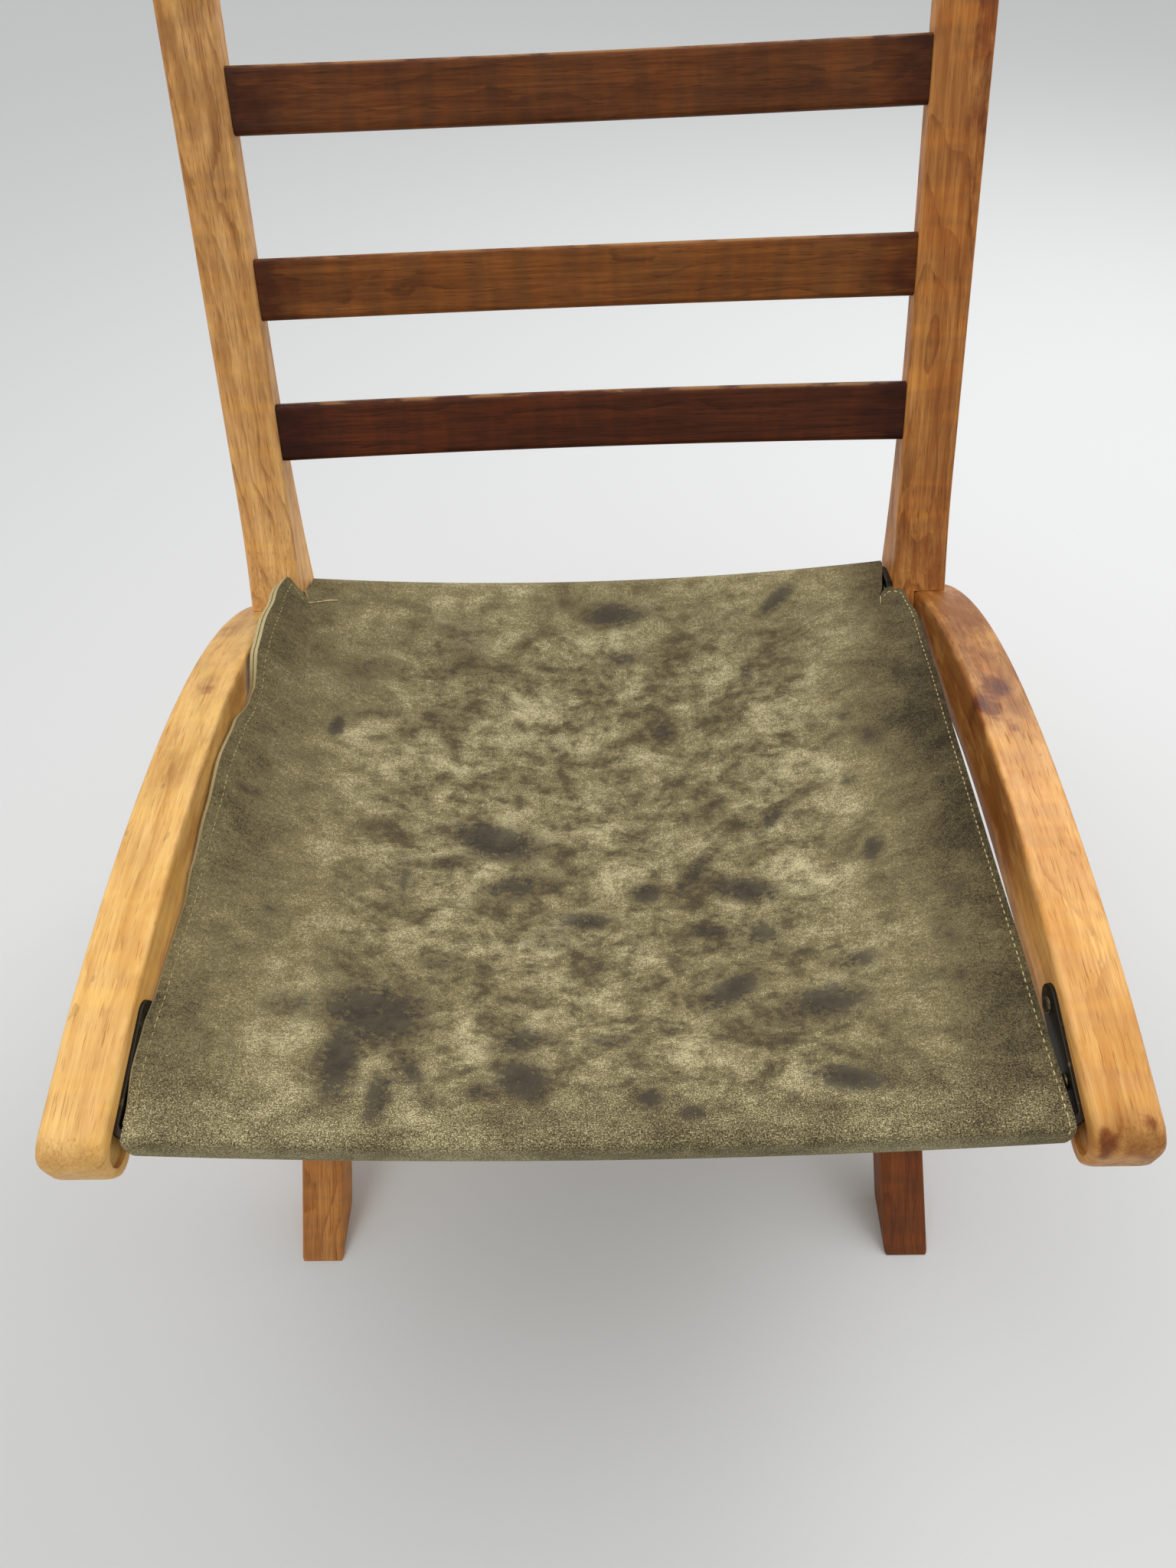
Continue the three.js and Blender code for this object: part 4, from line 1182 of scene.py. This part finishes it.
def sling_face(across, out):
    """One face of the suede as rings round both bars, one for each place across the chair. The face lies
    out from the middle of its layer, along the curled edge's own tilt. The lower layer hangs under the
    upper one by both thicknesses and a gap, and parts from it near the bars, as the square of the
    nearness to them."""
    across = np.asarray(across, float)
    sign = np.sign(across)[:, None]
    reach = SLACK + LAYER / 2 + out
    front_y, front_z = bar_loop(front_bar, across, reach, ROUND_FRONT)
    rear_x = across[:, None] + sign * panel_spread(across, BEHIND_ALL, notch_y(across))
    rear_y, rear_z = bar_loop(rear_bar, rear_x[:, 0], reach, ROUND_REAR)
    start_y, start_z = front_y[:, -1:], front_z[:, -1:]
    end_y, end_z = rear_y[:, -1:], rear_z[:, -1:]
    x, y, panel = plan_rows(across, start_y, end_y)
    step = (y - start_y) / (end_y - start_y)
    x, z, tilt, slant = curled(across, x, y, hang(x, step, start_z, end_z), step)

    under = LAYER + LAYER_GAP + 2 * out
    depth = LAYER / 2 - out
    from_front = np.maximum(0, 1 - (y - start_y) / FOLD_REACH) ** 2
    from_rear = np.maximum(0, 1 - (end_y - y) / FOLD_REACH) ** 2
    part = from_front * (start_z - front_z[:, :1] - under) + from_rear * (end_z - rear_z[:, :1] - under)
    below = z - under - part + (1 - np.cos(tilt)) * (depth + under)
    x_below = np.abs(x + sign * slant * (depth + under))
    x_below = sign * np.minimum(x_below, np.where(panel, EAR_STEEL, RAIL_IN - 0.4))
    z = z + (1 - np.cos(tilt)) * depth
    x = x + sign * slant * depth

    low_x = sign * np.minimum(np.abs(rear_x), EAR_STEEL)
    loop_x = low_x + (rear_x - low_x) * smooth(np.linspace(0, 2, rear_y.shape[1]))
    ring_x = np.concatenate([across[:, None] + 0 * front_y, x, loop_x[:, ::-1], x_below[:, ::-1]], 1)
    ring_y = np.concatenate([front_y, y, rear_y[:, ::-1], y[:, ::-1]], 1)
    ring_z = np.concatenate([front_z, z, rear_z[:, ::-1], below[:, ::-1]], 1)
    return np.stack([ring_x, ring_y, ring_z], -1), (front_y.shape[1], y.shape[1], rear_y.shape[1])


print("the middle of the seat sags", SAG_EDGE + SAG_MORE, "mm")

# %% [markdown]
# The suede could be one thin face with a Solidify modifier, but its thickness has to lean with the curled
# edges. So an outer and an inner face are worked out on one grid of columns and rows, the quads outside
# the notches' corners are left out, and a rim closes every edge between the two faces.

# %% The grid of the belt
ear_left = NOTCH_X[-1] + np.array([3.5, 7, 10.5, 13, 15, 17, 18, 19])
ear_right = NOTCH_X[1] + np.array([3, 6, 9.5, 13, 16, 18.5, 20.5, 22.3, 23.6, 24.5])
column_x = np.concatenate(
    [-ear_left[::-1], np.linspace(-NOTCH_X[-1], 0, 37)[:-1], np.linspace(0, NOTCH_X[1], 37), ear_right]
)
outer, counts = sling_face(column_x, LAYER / 2)
inner, _ = sling_face(column_x, -LAYER / 2)
columns, rows = outer.shape[:2]
cut_from = counts[0] + SPAN - 1
cut_to = sum(counts) + PANEL


def kept_quads():
    """Which quads of the grid are suede: all but those outside the notch's corners, behind the cut."""
    outside = np.zeros(columns - 1, bool)
    outside[: len(ear_left)] = outside[-len(ear_right) :] = True
    behind = (np.arange(rows) >= cut_from) & (np.arange(rows) < cut_to)
    return ~(outside[:, None] & behind[None])


def grid_faces(kept):
    """Quads of the outer and the inner face, whose rows run round and close, and a rim between the two
    faces along every edge that has a kept quad on one side only."""
    offset = columns * rows
    column, row = np.meshgrid(np.arange(columns - 1), np.arange(rows), indexing="ij")
    a, b = column * rows + row, column * rows + (row + 1) % rows
    sheet = np.stack([a, b, b + rows, a + rows], -1)[kept]
    wall = np.pad(kept, ((1, 1), (0, 0)))
    ahead, behind = np.roll(kept, 1, axis=1), np.roll(kept, -1, axis=1)
    edges = [
        np.stack([a, b], -1)[kept & ~wall[:-2]],
        np.stack([b + rows, a + rows], -1)[kept & ~wall[2:]],
        np.stack([a + rows, a], -1)[kept & ~ahead],
        np.stack([b, b + rows], -1)[kept & ~behind],
    ]
    edge = np.concatenate(edges)
    rim = np.stack([edge[:, 1], edge[:, 0], edge[:, 0] + offset, edge[:, 1] + offset], -1)
    return sheet, sheet[:, ::-1] + offset, rim


print("the grid has", columns, "columns and", rows, "rows")

# %% The belt of suede
top_faces, lining, rim = grid_faces(kept_quads())
faces = np.concatenate([top_faces, lining, rim])
used, renumbered = np.unique(faces, return_inverse=True)
both_faces = np.concatenate([outer.reshape(-1, 3), inner.reshape(-1, 3)])[used]
sling = closed_mesh("suede_sling", both_faces, renumbered.reshape(faces.shape), crease=50)
steps = np.linalg.norm(np.diff(outer, axis=1, append=outer[:, :1]), axis=-1)
flat_y = np.cumsum(steps, axis=1) - steps
cloth = np.stack([np.broadcast_to(column_x[:, None], flat_y.shape), flat_y, 0 * flat_y], -1).reshape(-1, 3)
keep(sling.data, "cloth", np.concatenate([cloth, cloth + [0, 0, 40]])[used] / 1000)
finished(sling, "seat_sling")

# %% [markdown]
# Years of use left dark, slightly greasy stains on the suede. Their places were read off the photograph,
# one soft spot for each, in rows like those of the rails, from the chair's own middle. The finish
# later frays their outlines. The middle of the seat is worn, and a band along each side edge is darker
# than the rest.

# %% Where the stains are
SEAT_STAINS = [
    (16, 125, 24, 12, -3, 0.90), (-25, 140, 11, 7, -2, 0.40), (22, 77, 15, 9, 3, 0.60),
    (55, -4, 10, 10, -5, 0.70), (160, 129, 21, 7, 47, 0.75), (128, 51, 7, 12, -9, 0.55),
    (-117, 101, 34, 20, -54, 0.35), (-211, -15, 5, 11, -11, 1.0), (-180, 7, 35, 6, 9, 0.35),
    (-256, -111, 8, 5, 27, 0.55), (216, -43, 14, 8, -64, 0.50), (198, -12, 12, 7, -43, 0.45),
    (195, -83, 7, 8, -18, 0.50), (-77, -120, 32, 16, -14, 0.95), (-61, -166, 26, 13, 17, 0.60),
    (-142, -162, 7, 25, 7, 0.5), (-109, -144, 15, 8, 5, 0.45), (200, -158, 7, 12, -17, 0.80),
    (134, -109, 19, 6, 46, 0.65), (37, -173, 11, 9, -17, 0.8), (75, -153, 32, 7, 54, 0.60),
    (108, -177, 24, 11, -20, 0.85), (-8, -200, 19, 8, -2, 0.85), (80, -215, 14, 7, -13, 0.75),
    (116, -221, 11, 11, -46, 0.70), (90, -272, 20, 9, 38, 1.00), (152, -287, 23, 13, -2, 0.85),
    (174, -255, 15, 9, 16, 0.6), (233, -281, 5, 7, -16, 0.50), (231, -243, 14, 8, -54, 0.45),
    (154, -350, 20, 8, -12, 1.00), (-143, -289, 31, 24, -22, 0.85), (-159, -329, 11, 29, 3, 1.00),
    (-197, -288, 19, 13, 7, 0.45), (-115, -334, 6, 27, 29, 0.60), (-129, -359, 7, 24, 1, 0.7),
    (-48, -311, 17, 10, 13, 0.75), (-43, -344, 18, 13, -37, 0.95), (-69, -353, 8, 8, 0, 0.60),
    (11, -312, 15, 7, 5, 0.50), (34, -360, 9, 8, 11, 0.75), (60, -372, 8, 6, -2, 0.70),
    (244, -207, 10, 8, -23, 0.35), (228, -337, 6, 6, -9, 0.30), (-223, -210, 13, 8, -9, 0.35),
    (-195, 52, 30, 18, 47, 0.35), (-33, -218, 17, 11, 13, 0.40), (-107, -242, 17, 10, -23, 0.35),
    (126, -299, 13, 8, -6, 0.40), (-223, -322, 8, 13, 10, 0.30), (-150, -404, 34, 5, 0, 0.80),
    (-85, -404, 22, 3, 0, 0.6), (-20, -404, 26, 3, 0, 0.50), (135, -405, 24, 3, 0, 0.45),
]
BORDER_RIGHT = 1.9
on_top = slice(counts[0] // 2, counts[0] + counts[1])
plan = outer[:, on_top, :2] - [0, NOSE_AHEAD]
stain = np.zeros((columns, rows))
stain[:, on_top] = blobs(plan.reshape(-1, 2), SEAT_STAINS).reshape(plan.shape[:2])
worn = np.zeros((columns, rows))
worn[:, on_top] = smooth((230 - np.abs(plan[..., 0])) / 90) * smooth((190 - plan[..., 1]) / 150)
worn[:, on_top] *= smooth((plan[..., 1] + 400) / 60)
border = smooth((np.abs(column_x) - 195) / 65) * np.where(column_x > 0, BORDER_RIGHT, 1.0)
border = np.broadcast_to(border[:, None], (columns, rows))
for name, values in (("stain", stain), ("worn", worn), ("border", border)):
    keep(sling.data, name, np.concatenate([values.ravel(), 0 * values.ravel()])[used])
print(len(SEAT_STAINS), "stains")

# %% [markdown]
# Pale waxed thread holds the two layers together: a running stitch near each side edge, turning in at the
# notches. Each stitch is a tiny bent tube that dips into the suede at both ends. All are made at once
# from one formula.

# %% How a stitch is made
STITCH_PITCH, STITCH_LONG, THREAD, TUBE_SIDES = 5.5, 3.3, 0.4, 6
STITCH_HIGH, STITCH_SUNK = 0.95, 0.55


def follow(line, at, values=None):
    """Places at given distances along a line of points, or the line's values there, and the line's
    length."""
    gone = np.concatenate([[0], np.cumsum(np.linalg.norm(np.diff(line, axis=0), axis=1))])
    values = line if values is None else values
    return np.stack([np.interp(at, gone, values[:, k]) for k in range(3)], -1), gone[-1]


def unit(vectors):
    """Vectors of length 1, the same way."""
    return vectors / np.linalg.norm(vectors, axis=-1, keepdims=True)


def thread_piece(name, rings):
    """Tubes, one for each stack of rings; they belong to the suede."""
    size = rings.shape[1] * rings.shape[2]
    _, faces = skin(rings[0])
    every = [[corner + size * k for corner in face] for k in range(len(rings)) for face in faces]
    made = closed_mesh(name, rings.reshape(-1, 3), every, crease=80)
    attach(made, "root")
    chair[name] = made
    return made


def tubes(places, up):
    """A ring of points round each place: the sum of a cosine across and a sine up."""
    ahead = unit(np.gradient(places, axis=1))
    across = unit(np.cross(ahead, up))[:, :, None]
    up = np.cross(across[:, :, 0], ahead)[:, :, None]
    angle = np.arange(TUBE_SIDES)[:, None] / TUBE_SIDES * 2 * np.pi
    return places[:, :, None] + THREAD * (np.cos(angle) * across + np.sin(angle) * up)


def stitch_row(name, line, up):
    """Each stitch is a tube of five rings on the line, raised by a half wave, so that its ends dip into
    the suede. A slow sine moves the stitches a little from an even pitch, as a hand does."""
    count = int(follow(line, 0.0)[1] // STITCH_PITCH)
    wander = 0.25 * np.sin(2.4 * np.arange(count))
    t = np.linspace(-0.5, 0.5, 5)
    at = ((np.arange(count) + 0.5) * STITCH_PITCH + wander)[:, None] + t * STITCH_LONG
    up = unit(follow(line, at, up)[0])
    places = follow(line, at)[0] + up * (STITCH_HIGH * np.cos(t * np.pi) - STITCH_SUNK)[None, :, None]
    return thread_piece(name, tubes(places, up)), count


def face_row(x, rows_used):
    """Places on the suede's outer face, along one column, and the way out of the face there: the cross
    product of the steps to the next column and to the next row."""
    trio, _ = sling_face(np.array([x - 1, x, x + 1]), LAYER / 2)
    way = np.cross(trio[2] - trio[0], np.gradient(trio[1], axis=0))
    return trio[1, rows_used], unit(way)[rows_used]


print("a stitch is", STITCH_LONG, "mm long")

# %% Four rows of stitches
STITCH_IN = {-1: 4.6, 1: 3.6}
TURN_ROWS = 2
last_row = counts[0] + SPAN - 1 - TURN_ROWS
stitches = []
stitch_total = 0
for side, sign in SIDES.items():
    seam_x = sign * (SLING_HALF - STITCH_IN[sign])
    along, along_up = face_row(seam_x, slice(counts[0] - 14, last_row + 1))
    inward = sign * np.linspace(abs(seam_x), NOTCH_X[sign] - 1, 9)[1:]
    turned = np.array([[part[0] for part in face_row(x, slice(last_row, last_row + 1))] for x in inward])
    top_line, top_up = np.concatenate([along, turned[:, 0]]), np.concatenate([along_up, turned[:, 1]])
    under_line, under_up = face_row(seam_x, slice(cut_to + TURN_ROWS, rows - 6))
    for name, line, up in (("top", top_line, top_up), ("under", under_line, under_up)):
        row, count = stitch_row(f"stitches_{name}_{side}", line, up)
        stitches.append(row)
        stitch_total += count
print(stitch_total, "stitches")

# %% [markdown]
# At both notches the thread's end is left loose. Each end is a longer tube that lies on the suede.

# %% Loose thread ends
TAILS = {
    -1: [(-252, 526), (-245, 532.5), (-237, 538), (-230.5, 541)],
    1: [(248, 521), (247.2, 517), (246.6, 512.5)],
}
for side, sign in SIDES.items():
    knots = np.array(TAILS[sign], float)
    share = np.linspace(0, len(knots) - 1, 14)
    at = np.stack([np.interp(share, np.arange(len(knots)), knots[:, k]) for k in range(2)], -1)
    face = sling_face(at[:, 0], LAYER / 2)[0][:, counts[0] : counts[0] + counts[1]]
    row = np.abs(face[..., 1] - at[:, 1:]).argmin(1)
    arch = THREAD * (0.8 + 2.2 * np.sin(np.linspace(0, 1, len(at)) * np.pi))
    height = face[np.arange(len(at)), row, 2] + arch
    line = np.concatenate([at, height[:, None]], 1)[None]
    stitches.append(thread_piece(f"thread_end_{side}", tubes(line, np.array([0.0, 0.0, 1.0]))))
print(len(chair), "pieces in all")

# %% [markdown]
# The finishes come last, when every piece is there to try them on. All the wood shares one recipe: growth
# rings round a pith that lies outside the piece, fibres and pores stretched along the grain, broad clouds
# of colour, paler worn edges and darker stains. Because the recipe is solid, end grain shows by itself
# where the wood is cut across.

# %% Wood
# The third tone darkens the tints, which on the rails include painted shade and a painted sheen.
STAIN_DARK, STAIN_HALO, TINT_AND_SHADE_TONE, CURL = tone("3a1e10"), tone("a06a3c"), tone("a08769"), tone("ffe2ae")


def weathered(made, grain, colour, rub_and_highlight_tone, rub_and_highlight_share):
    """Worn edges, tints and stains: each comes from its attribute, times or plus a noise of its own,
    and shows where the outcome is above a level. On the slats the paler top edge is partly a painted
    highlight, and on the rails the tints also paint shade on the inner faces and a sheen near the left post."""
    # On the slats the edge attribute marks only the top edge, so there this paler edge is partly a painted
    # highlight.
    rub = made.attribute("edge", "Fac") * made.figure(grain, 34, 90, 3.0, 0.6).ramp(0.4, 0.6)
    colour = made.blend(rub * rub_and_highlight_share, colour, rub_and_highlight_tone)
    patches = made.figure(grain, 24, 60, 4.0, 0.6).ramp(0.34, 0.66)
    # Tints darken towards the tint tone; on the rails' inner faces this is painted shade, near the left post
    # a painted sheen.
    tint_and_shade = made.attribute("tint", "Fac") * (0.65 + patches * 0.6)
    colour = made.blend(tint_and_shade.ramp(0.0, 1.0), colour, TINT_AND_SHADE_TONE, "MULTIPLY")
    specks = made.figure(grain, 70, 150, 1.0, 0.4).ramp(0.75, 0.79)
    dirt = made.attribute("stain", "Fac") + (made.figure(grain, 40, 95, 4.0, 0.65) - 0.5) * 0.9
    colour = made.blend(dirt.ramp(0.2, 0.55) * 0.8, colour, STAIN_HALO, "MULTIPLY")
    return made.blend(dirt.ramp(0.55, 0.95) * 0.7 + specks * 0.25, colour, STAIN_DARK)


def wood(name, tones, pith, ring, tilt, warp, clouds, lines, shine, seed, gloss=0.25, rub_and_highlight=None):
    """tones are the wood's pale and deep tone and the tone of a ring's late wood; pith is the place of
    the ring centre beside the grain's own middle, ring the rings' spacing, tilt how fast the centre
    drifts along the piece, and warp how far the rings wander, all in metres. clouds and lines are the
    strengths of the broad clouds and of the rings; rub_and_highlight is the tone of the worn edges and how
    much of it shows there, and on the slats, whose marked edge is only the top one, that paler edge is
    partly a painted highlight. A ring's number is the distance to the pith over the spacing, and its
    fraction is the season."""
    pale, deep, line = (tone(code) for code in tones.split())
    rub_and_highlight_tone, rub_and_highlight_share = (tone(rub_and_highlight[0]), rub_and_highlight[1]) if rub_and_highlight else (pale, 0.5)
    made = Finish(name)
    place = made.attribute("grain")
    grain = made.stretched(place, 1, 1, 1, (seed, 0.31 * seed, -0.17 * seed))
    drift = made.figure(grain, 6, 14, 2.0, 0.5, out=1)
    shift = made.node("ShaderNodeVectorMath", {"operation": "SUBTRACT"}, {0: drift, 1: (0.5, 0.5, 0.5)})
    bent = made.stretched(shift, 0.0, warp, warp)
    warped = made.node("ShaderNodeVectorMath", {"operation": "ADD"}, {0: place, 1: bent})
    split = made.node("ShaderNodeSeparateXYZ", {}, {0: warped}).socket.node
    along, through, across = (Wire(made, output) for output in split.outputs)
    through = through - pith[0] - along * tilt
    across = across - pith[1]
    wobble = made.figure(grain, 22, 70, 3.0, 0.6)
    year = ((through * through + across * across) ** 0.5 / ring + wobble * 0.7).fraction()
    late = year.ramp(0.7, 0.95) * year.ramp(1.0, 0.97)
    bold = made.figure(grain, 9, 150, 2.0, 0.5).ramp(0.34, 0.66)
    fibre = made.figure(grain, 16, 520, 4.0, 0.65)
    pores = made.figure(grain, 60, 1500, 1.0, 0.4).ramp(0.62, 0.72)
    cloud = made.figure(grain, 7, 26, 4.0, 0.6, 0.5).ramp(0.3, 0.7)
    curl = made.figure(grain, 75, 16, 2.0, 0.5).ramp(0.38, 0.68)
    streak = made.figure(grain, 7, 170, 3.0, 0.6).ramp(0.36, 0.64)
    colour = made.blend(cloud * clouds + year * 0.3 * lines, pale, deep)
    colour = made.blend(late * bold * lines, colour, line)
    colour = made.blend(streak * 0.55 * lines, colour, deep)
    colour = made.blend((1 - streak) * 0.4 * lines, colour, pale)
    colour = made.blend(fibre.ramp(0.38, 0.66) * 0.55, colour, deep)
    colour = made.blend(pores * 0.5, colour, line)
    colour = made.blend(curl * 0.36, colour, CURL, "SOFT_LIGHT")
    return made.shade(
        Base__Color=weathered(made, grain, colour, rub_and_highlight_tone, rub_and_highlight_share),
        Roughness=shine + fibre * 0.14 + pores * 0.2,
        Normal=made.relief(fibre * 0.5 - pores * 0.6 - late * 0.15, 0.12, 0.5),
        Specular__IOR__Level=gloss,
    )


print("aged wood keeps", [round(part, 2) for part in TINT_AND_SHADE_TONE[:3]], "of its light")

# %% [markdown]
# Each wooden piece gets its own board: its own tones, its own pith and a seed that moves the noise. The
# rails are honey coloured, the posts and the left leg a little redder, and the slats and the right leg
# dark.

# %% One board for each piece
# The slats' paler top edge: partly wear, partly a painted highlight.
SLAT_EDGE_WEAR_AND_HIGHLIGHT = ("ab7c4a", 0.6)
SLAT_BOARD = ((0.035, 0.04), 0.0065, 0.05, 0.03, 0.6, 0.6, 0.44)
BOARDS = {
    "bent_rail_right": (
        "rail_wood_right", "f6c27a c4803a 8a4a1e", (-0.06, 0.33), 0.008, 0.03, 0.03, 0.75, 0.5, 0.34, 0.4
    ),
    "bent_rail_left": (
        "rail_wood_left", "f9cd82 d2964a 9a5c2a", (-0.05, -0.27), 0.008, 0.02, 0.03, 0.7, 0.4, 0.34, 1.7
    ),
    "post_right": (
        "post_wood_right", "cf904c 8c501e 4a220b", (0.03, 0.262), 0.0085, 0.06, 0.06, 0.85, 0.95, 0.42, 3.1
    ),
    "post_left": (
        "post_wood_left", "f0bd7c c08646 6a3c18", (0.05, -0.31), 0.0075, 0.045, 0.035, 0.6, 0.75, 0.42, 4.6
    ),
    "leg_right": (
        "leg_wood_right", "84491c 5a2c0e 351606", (0.04, 0.24), 0.007, 0.05, 0.04, 0.75, 0.7, 0.45, 5.2
    ),
    "leg_left": (
        "leg_wood_left", "c0854a 925a28 5e3214", (0.05, -0.28), 0.007, 0.05, 0.04, 0.65, 0.6, 0.45, 6.3
    ),
    "slat_upper": ("slat_wood_upper", "70421f 41200c 231006", *SLAT_BOARD, 7.7, 0.15, SLAT_EDGE_WEAR_AND_HIGHLIGHT),
    "slat_middle": ("slat_wood_middle", "8a5629 583012 331807", *SLAT_BOARD, 8.7, 0.15, SLAT_EDGE_WEAR_AND_HIGHLIGHT),
    "slat_lower": ("slat_wood_lower", "5e2f16 351708 1c0a03", *SLAT_BOARD, 9.7, 0.15, SLAT_EDGE_WEAR_AND_HIGHLIGHT),
}
for name, recipe in BOARDS.items():
    chair[name].data.materials.clear()
    chair[name].data.materials.append(wood(*recipe))
print(len(BOARDS), "wooden pieces")

# %% [markdown]
# Suede is the flesh side of a hide: a short nap that lies one way where a hand has stroked it and another
# way beside it, so the same colour looks lighter or darker in clouds. Finer grains come from the fibres
# themselves. Stains mat the nap down, which makes them dark and a little shiny.

# %% Suede
SUEDE_LIGHT = 0.51


def suede():
    """A lightness is added up from noises, from broad clouds over mottle and fray to nap and specks, each
    times its own strength, less the side borders and less a painted shade on the front fold round and under
    the front bar. It is read off a ramp from dark to pale olive. The smears and the stains are noises too,
    added to the stains' own strength and cut at a level, which frays their outlines."""
    made = Finish("olive_suede_worn")
    cloth = made.attribute("cloth")
    stain, worn, border = (made.attribute(name, "Fac") for name in ("stain", "worn", "border"))
    broad = made.noise(cloth, 9.0, 2.0, 0.5, 0.4)
    cloud = made.noise(made.stretched(cloth, 22, 29, 24), 1.0, 6.0, 0.66, 0.6)
    mottle = made.noise(made.stretched(cloth, 62, 76, 70), 1.0, 5.0, 0.7)
    fray = made.noise(made.stretched(cloth, 170, 200, 170), 1.0, 4.0, 0.75)
    nap = made.noise(cloth, 420.0, 3.0, 0.75)
    speck = made.noise(cloth, 1100.0, 2.0, 0.6)
    fold = made.node("ShaderNodeSeparateXYZ", {}, {0: cloth}, out=1).ramp(0.115, 0.045)
    uneven = (cloud - 0.5) * 1.1 + (mottle - 0.5) * 0.6
    light = SUEDE_LIGHT + (broad - 0.5) * 0.5 + uneven * (worn * 0.45 + 0.65) + (fray - 0.5) * 0.4
    # The front fold, round and under the front bar, is darkened here as painted shade.
    light = light - border * (0.17 - fold * 0.12) - fold * 0.1
    light = light + (nap - 0.5) * (fold * 0.2 + 0.8) + (speck - 0.5) * (fold * 1.3 + 1.2)
    base = made.blend(light.ramp(-0.1, 0.58), tone("332b20"), tone("7f7351"))
    base = made.blend(light.ramp(0.46, 0.95), base, tone("cfc49a"))

    smears = 1.02 - cloud * 0.4 - mottle * 0.6 + (fray - 0.5) * 0.5 + (nap - 0.5) * 0.3 + worn * 0.04
    base = made.blend(smears.ramp(0.57, 0.65) * (worn * 0.42 + 0.15), base, tone("3f352b"))
    tear = (mottle - 0.5) * 2.0 + (fray - 0.5) * 2.4 + (nap - 0.5) * 1.4
    ragged = stain * 1.1 + tear * (stain + 0.22)
    grains = 1 + (nap - 0.5) * 0.9 + (speck - 0.5) * 1.2
    base = made.blend(ragged.ramp(0.2, 0.36) * 0.45 * grains, base, tone("4a3e31"))
    dark = ragged.ramp(0.42, 0.54)
    base = made.blend(dark * (stain * 0.4 + 0.38) * grains, base, tone("292523"))
    return made.shade(
        Base__Color=base,
        Roughness=0.92 - dark * 0.2,
        Normal=made.relief(nap * 0.7 + speck * 0.3 + mottle * 0.4, 0.7, 0.7),
        Sheen__Weight=0.15,
        Sheen__Roughness=0.5,
        Sheen__Tint=tone("b7b088"),
        Specular__IOR__Level=0.2,
    )


def raw_edge():
    """The cut edge shows the hide's paler inside, grained by one fine noise."""
    made = Finish("suede_raw_edge")
    grit = made.noise(made.attribute("cloth"), 900.0, 3.0, 0.7)
    colour = made.blend(grit.ramp(0.34, 0.66), tone("97875c"), tone("dccb97"))
    return made.shade(Base__Color=colour, Roughness=0.95, Normal=made.relief(grit, 0.3, 0.5))


sling.data.materials.append(suede())
sling.data.materials.append(raw_edge())
kinds = np.zeros(len(sling.data.polygons), int)
kinds[-len(rim) :] = 1
sling.data.polygons.foreach_set("material_index", kinds)
print(len(rim), "faces are cut edge")

# %% [markdown]
# The thread is twisted from plies, which a diagonal wave gives it. The left rows have been rubbed darker
# than the right ones.

# %% Thread


def thread(name, pale, deep):
    """Two tones mixed by a noise of wear, under the diagonal ridges of the plies."""
    made = Finish(name)
    place = made.node("ShaderNodeTexCoord", out="Object")
    ply = made.node("ShaderNodeTexWave", {"bands_direction": "DIAGONAL"}, {"Vector": place, "Scale": 900.0})
    wear = made.noise(place, 130.0, 3.0, 0.6)
    colour = made.blend(wear.ramp(0.35, 0.7), tone(pale), tone(deep))
    return made.shade(Base__Color=colour, Roughness=0.55, Normal=made.relief(ply, 0.1, 0.5))


pale_thread = thread("waxed_thread_pale", "f0e0aa", "bda468")
worn_thread = thread("waxed_thread_worn", "c0b074", "8a7a4a")
for row in stitches:
    rubbed_row = row.name in ("stitches_top_left", "stitches_under_left")
    row.data.materials.append(worn_thread if rubbed_row else pale_thread)
print(len(stitches), "pieces of thread")

# %% [markdown]
# The bars and screws are black, from oil burnt on hot steel. Where hands and suede rub, the black thins
# to brown.

# %% Black steel


def black_steel(name, rub_share, rough):
    """Brown comes through the black where a broad noise is above a level, and a fine one roughens it
    all."""
    made = Finish(name)
    place = made.node("ShaderNodeTexCoord", out="Object")
    worn = made.noise(place, 55.0, 4.0, 0.65).ramp(0.66 - rub_share, 0.82 - rub_share)
    grit = made.noise(place, 700.0, 3.0, 0.6)
    colour = made.blend(worn, tone("29241b"), tone("64553e"))
    return made.shade(
        Base__Color=colour,
        Metallic=0.75,
        Roughness=rough + grit * 0.18 - worn * 0.1,
        Normal=made.relief(grit, 0.15, 0.35),
    )


bar_steel = black_steel("black_bar_steel", 0.1, 0.36)
screw_steel = black_steel("black_screw_steel", 0.22, 0.28)
for name, piece in chair.items():
    if name.startswith("steel_bar"):
        piece.data.materials.append(bar_steel)
    elif not piece.data.materials:
        piece.data.materials.append(screw_steel)
print("every piece has a finish:", all(len(piece.data.materials) for piece in chair.values()))
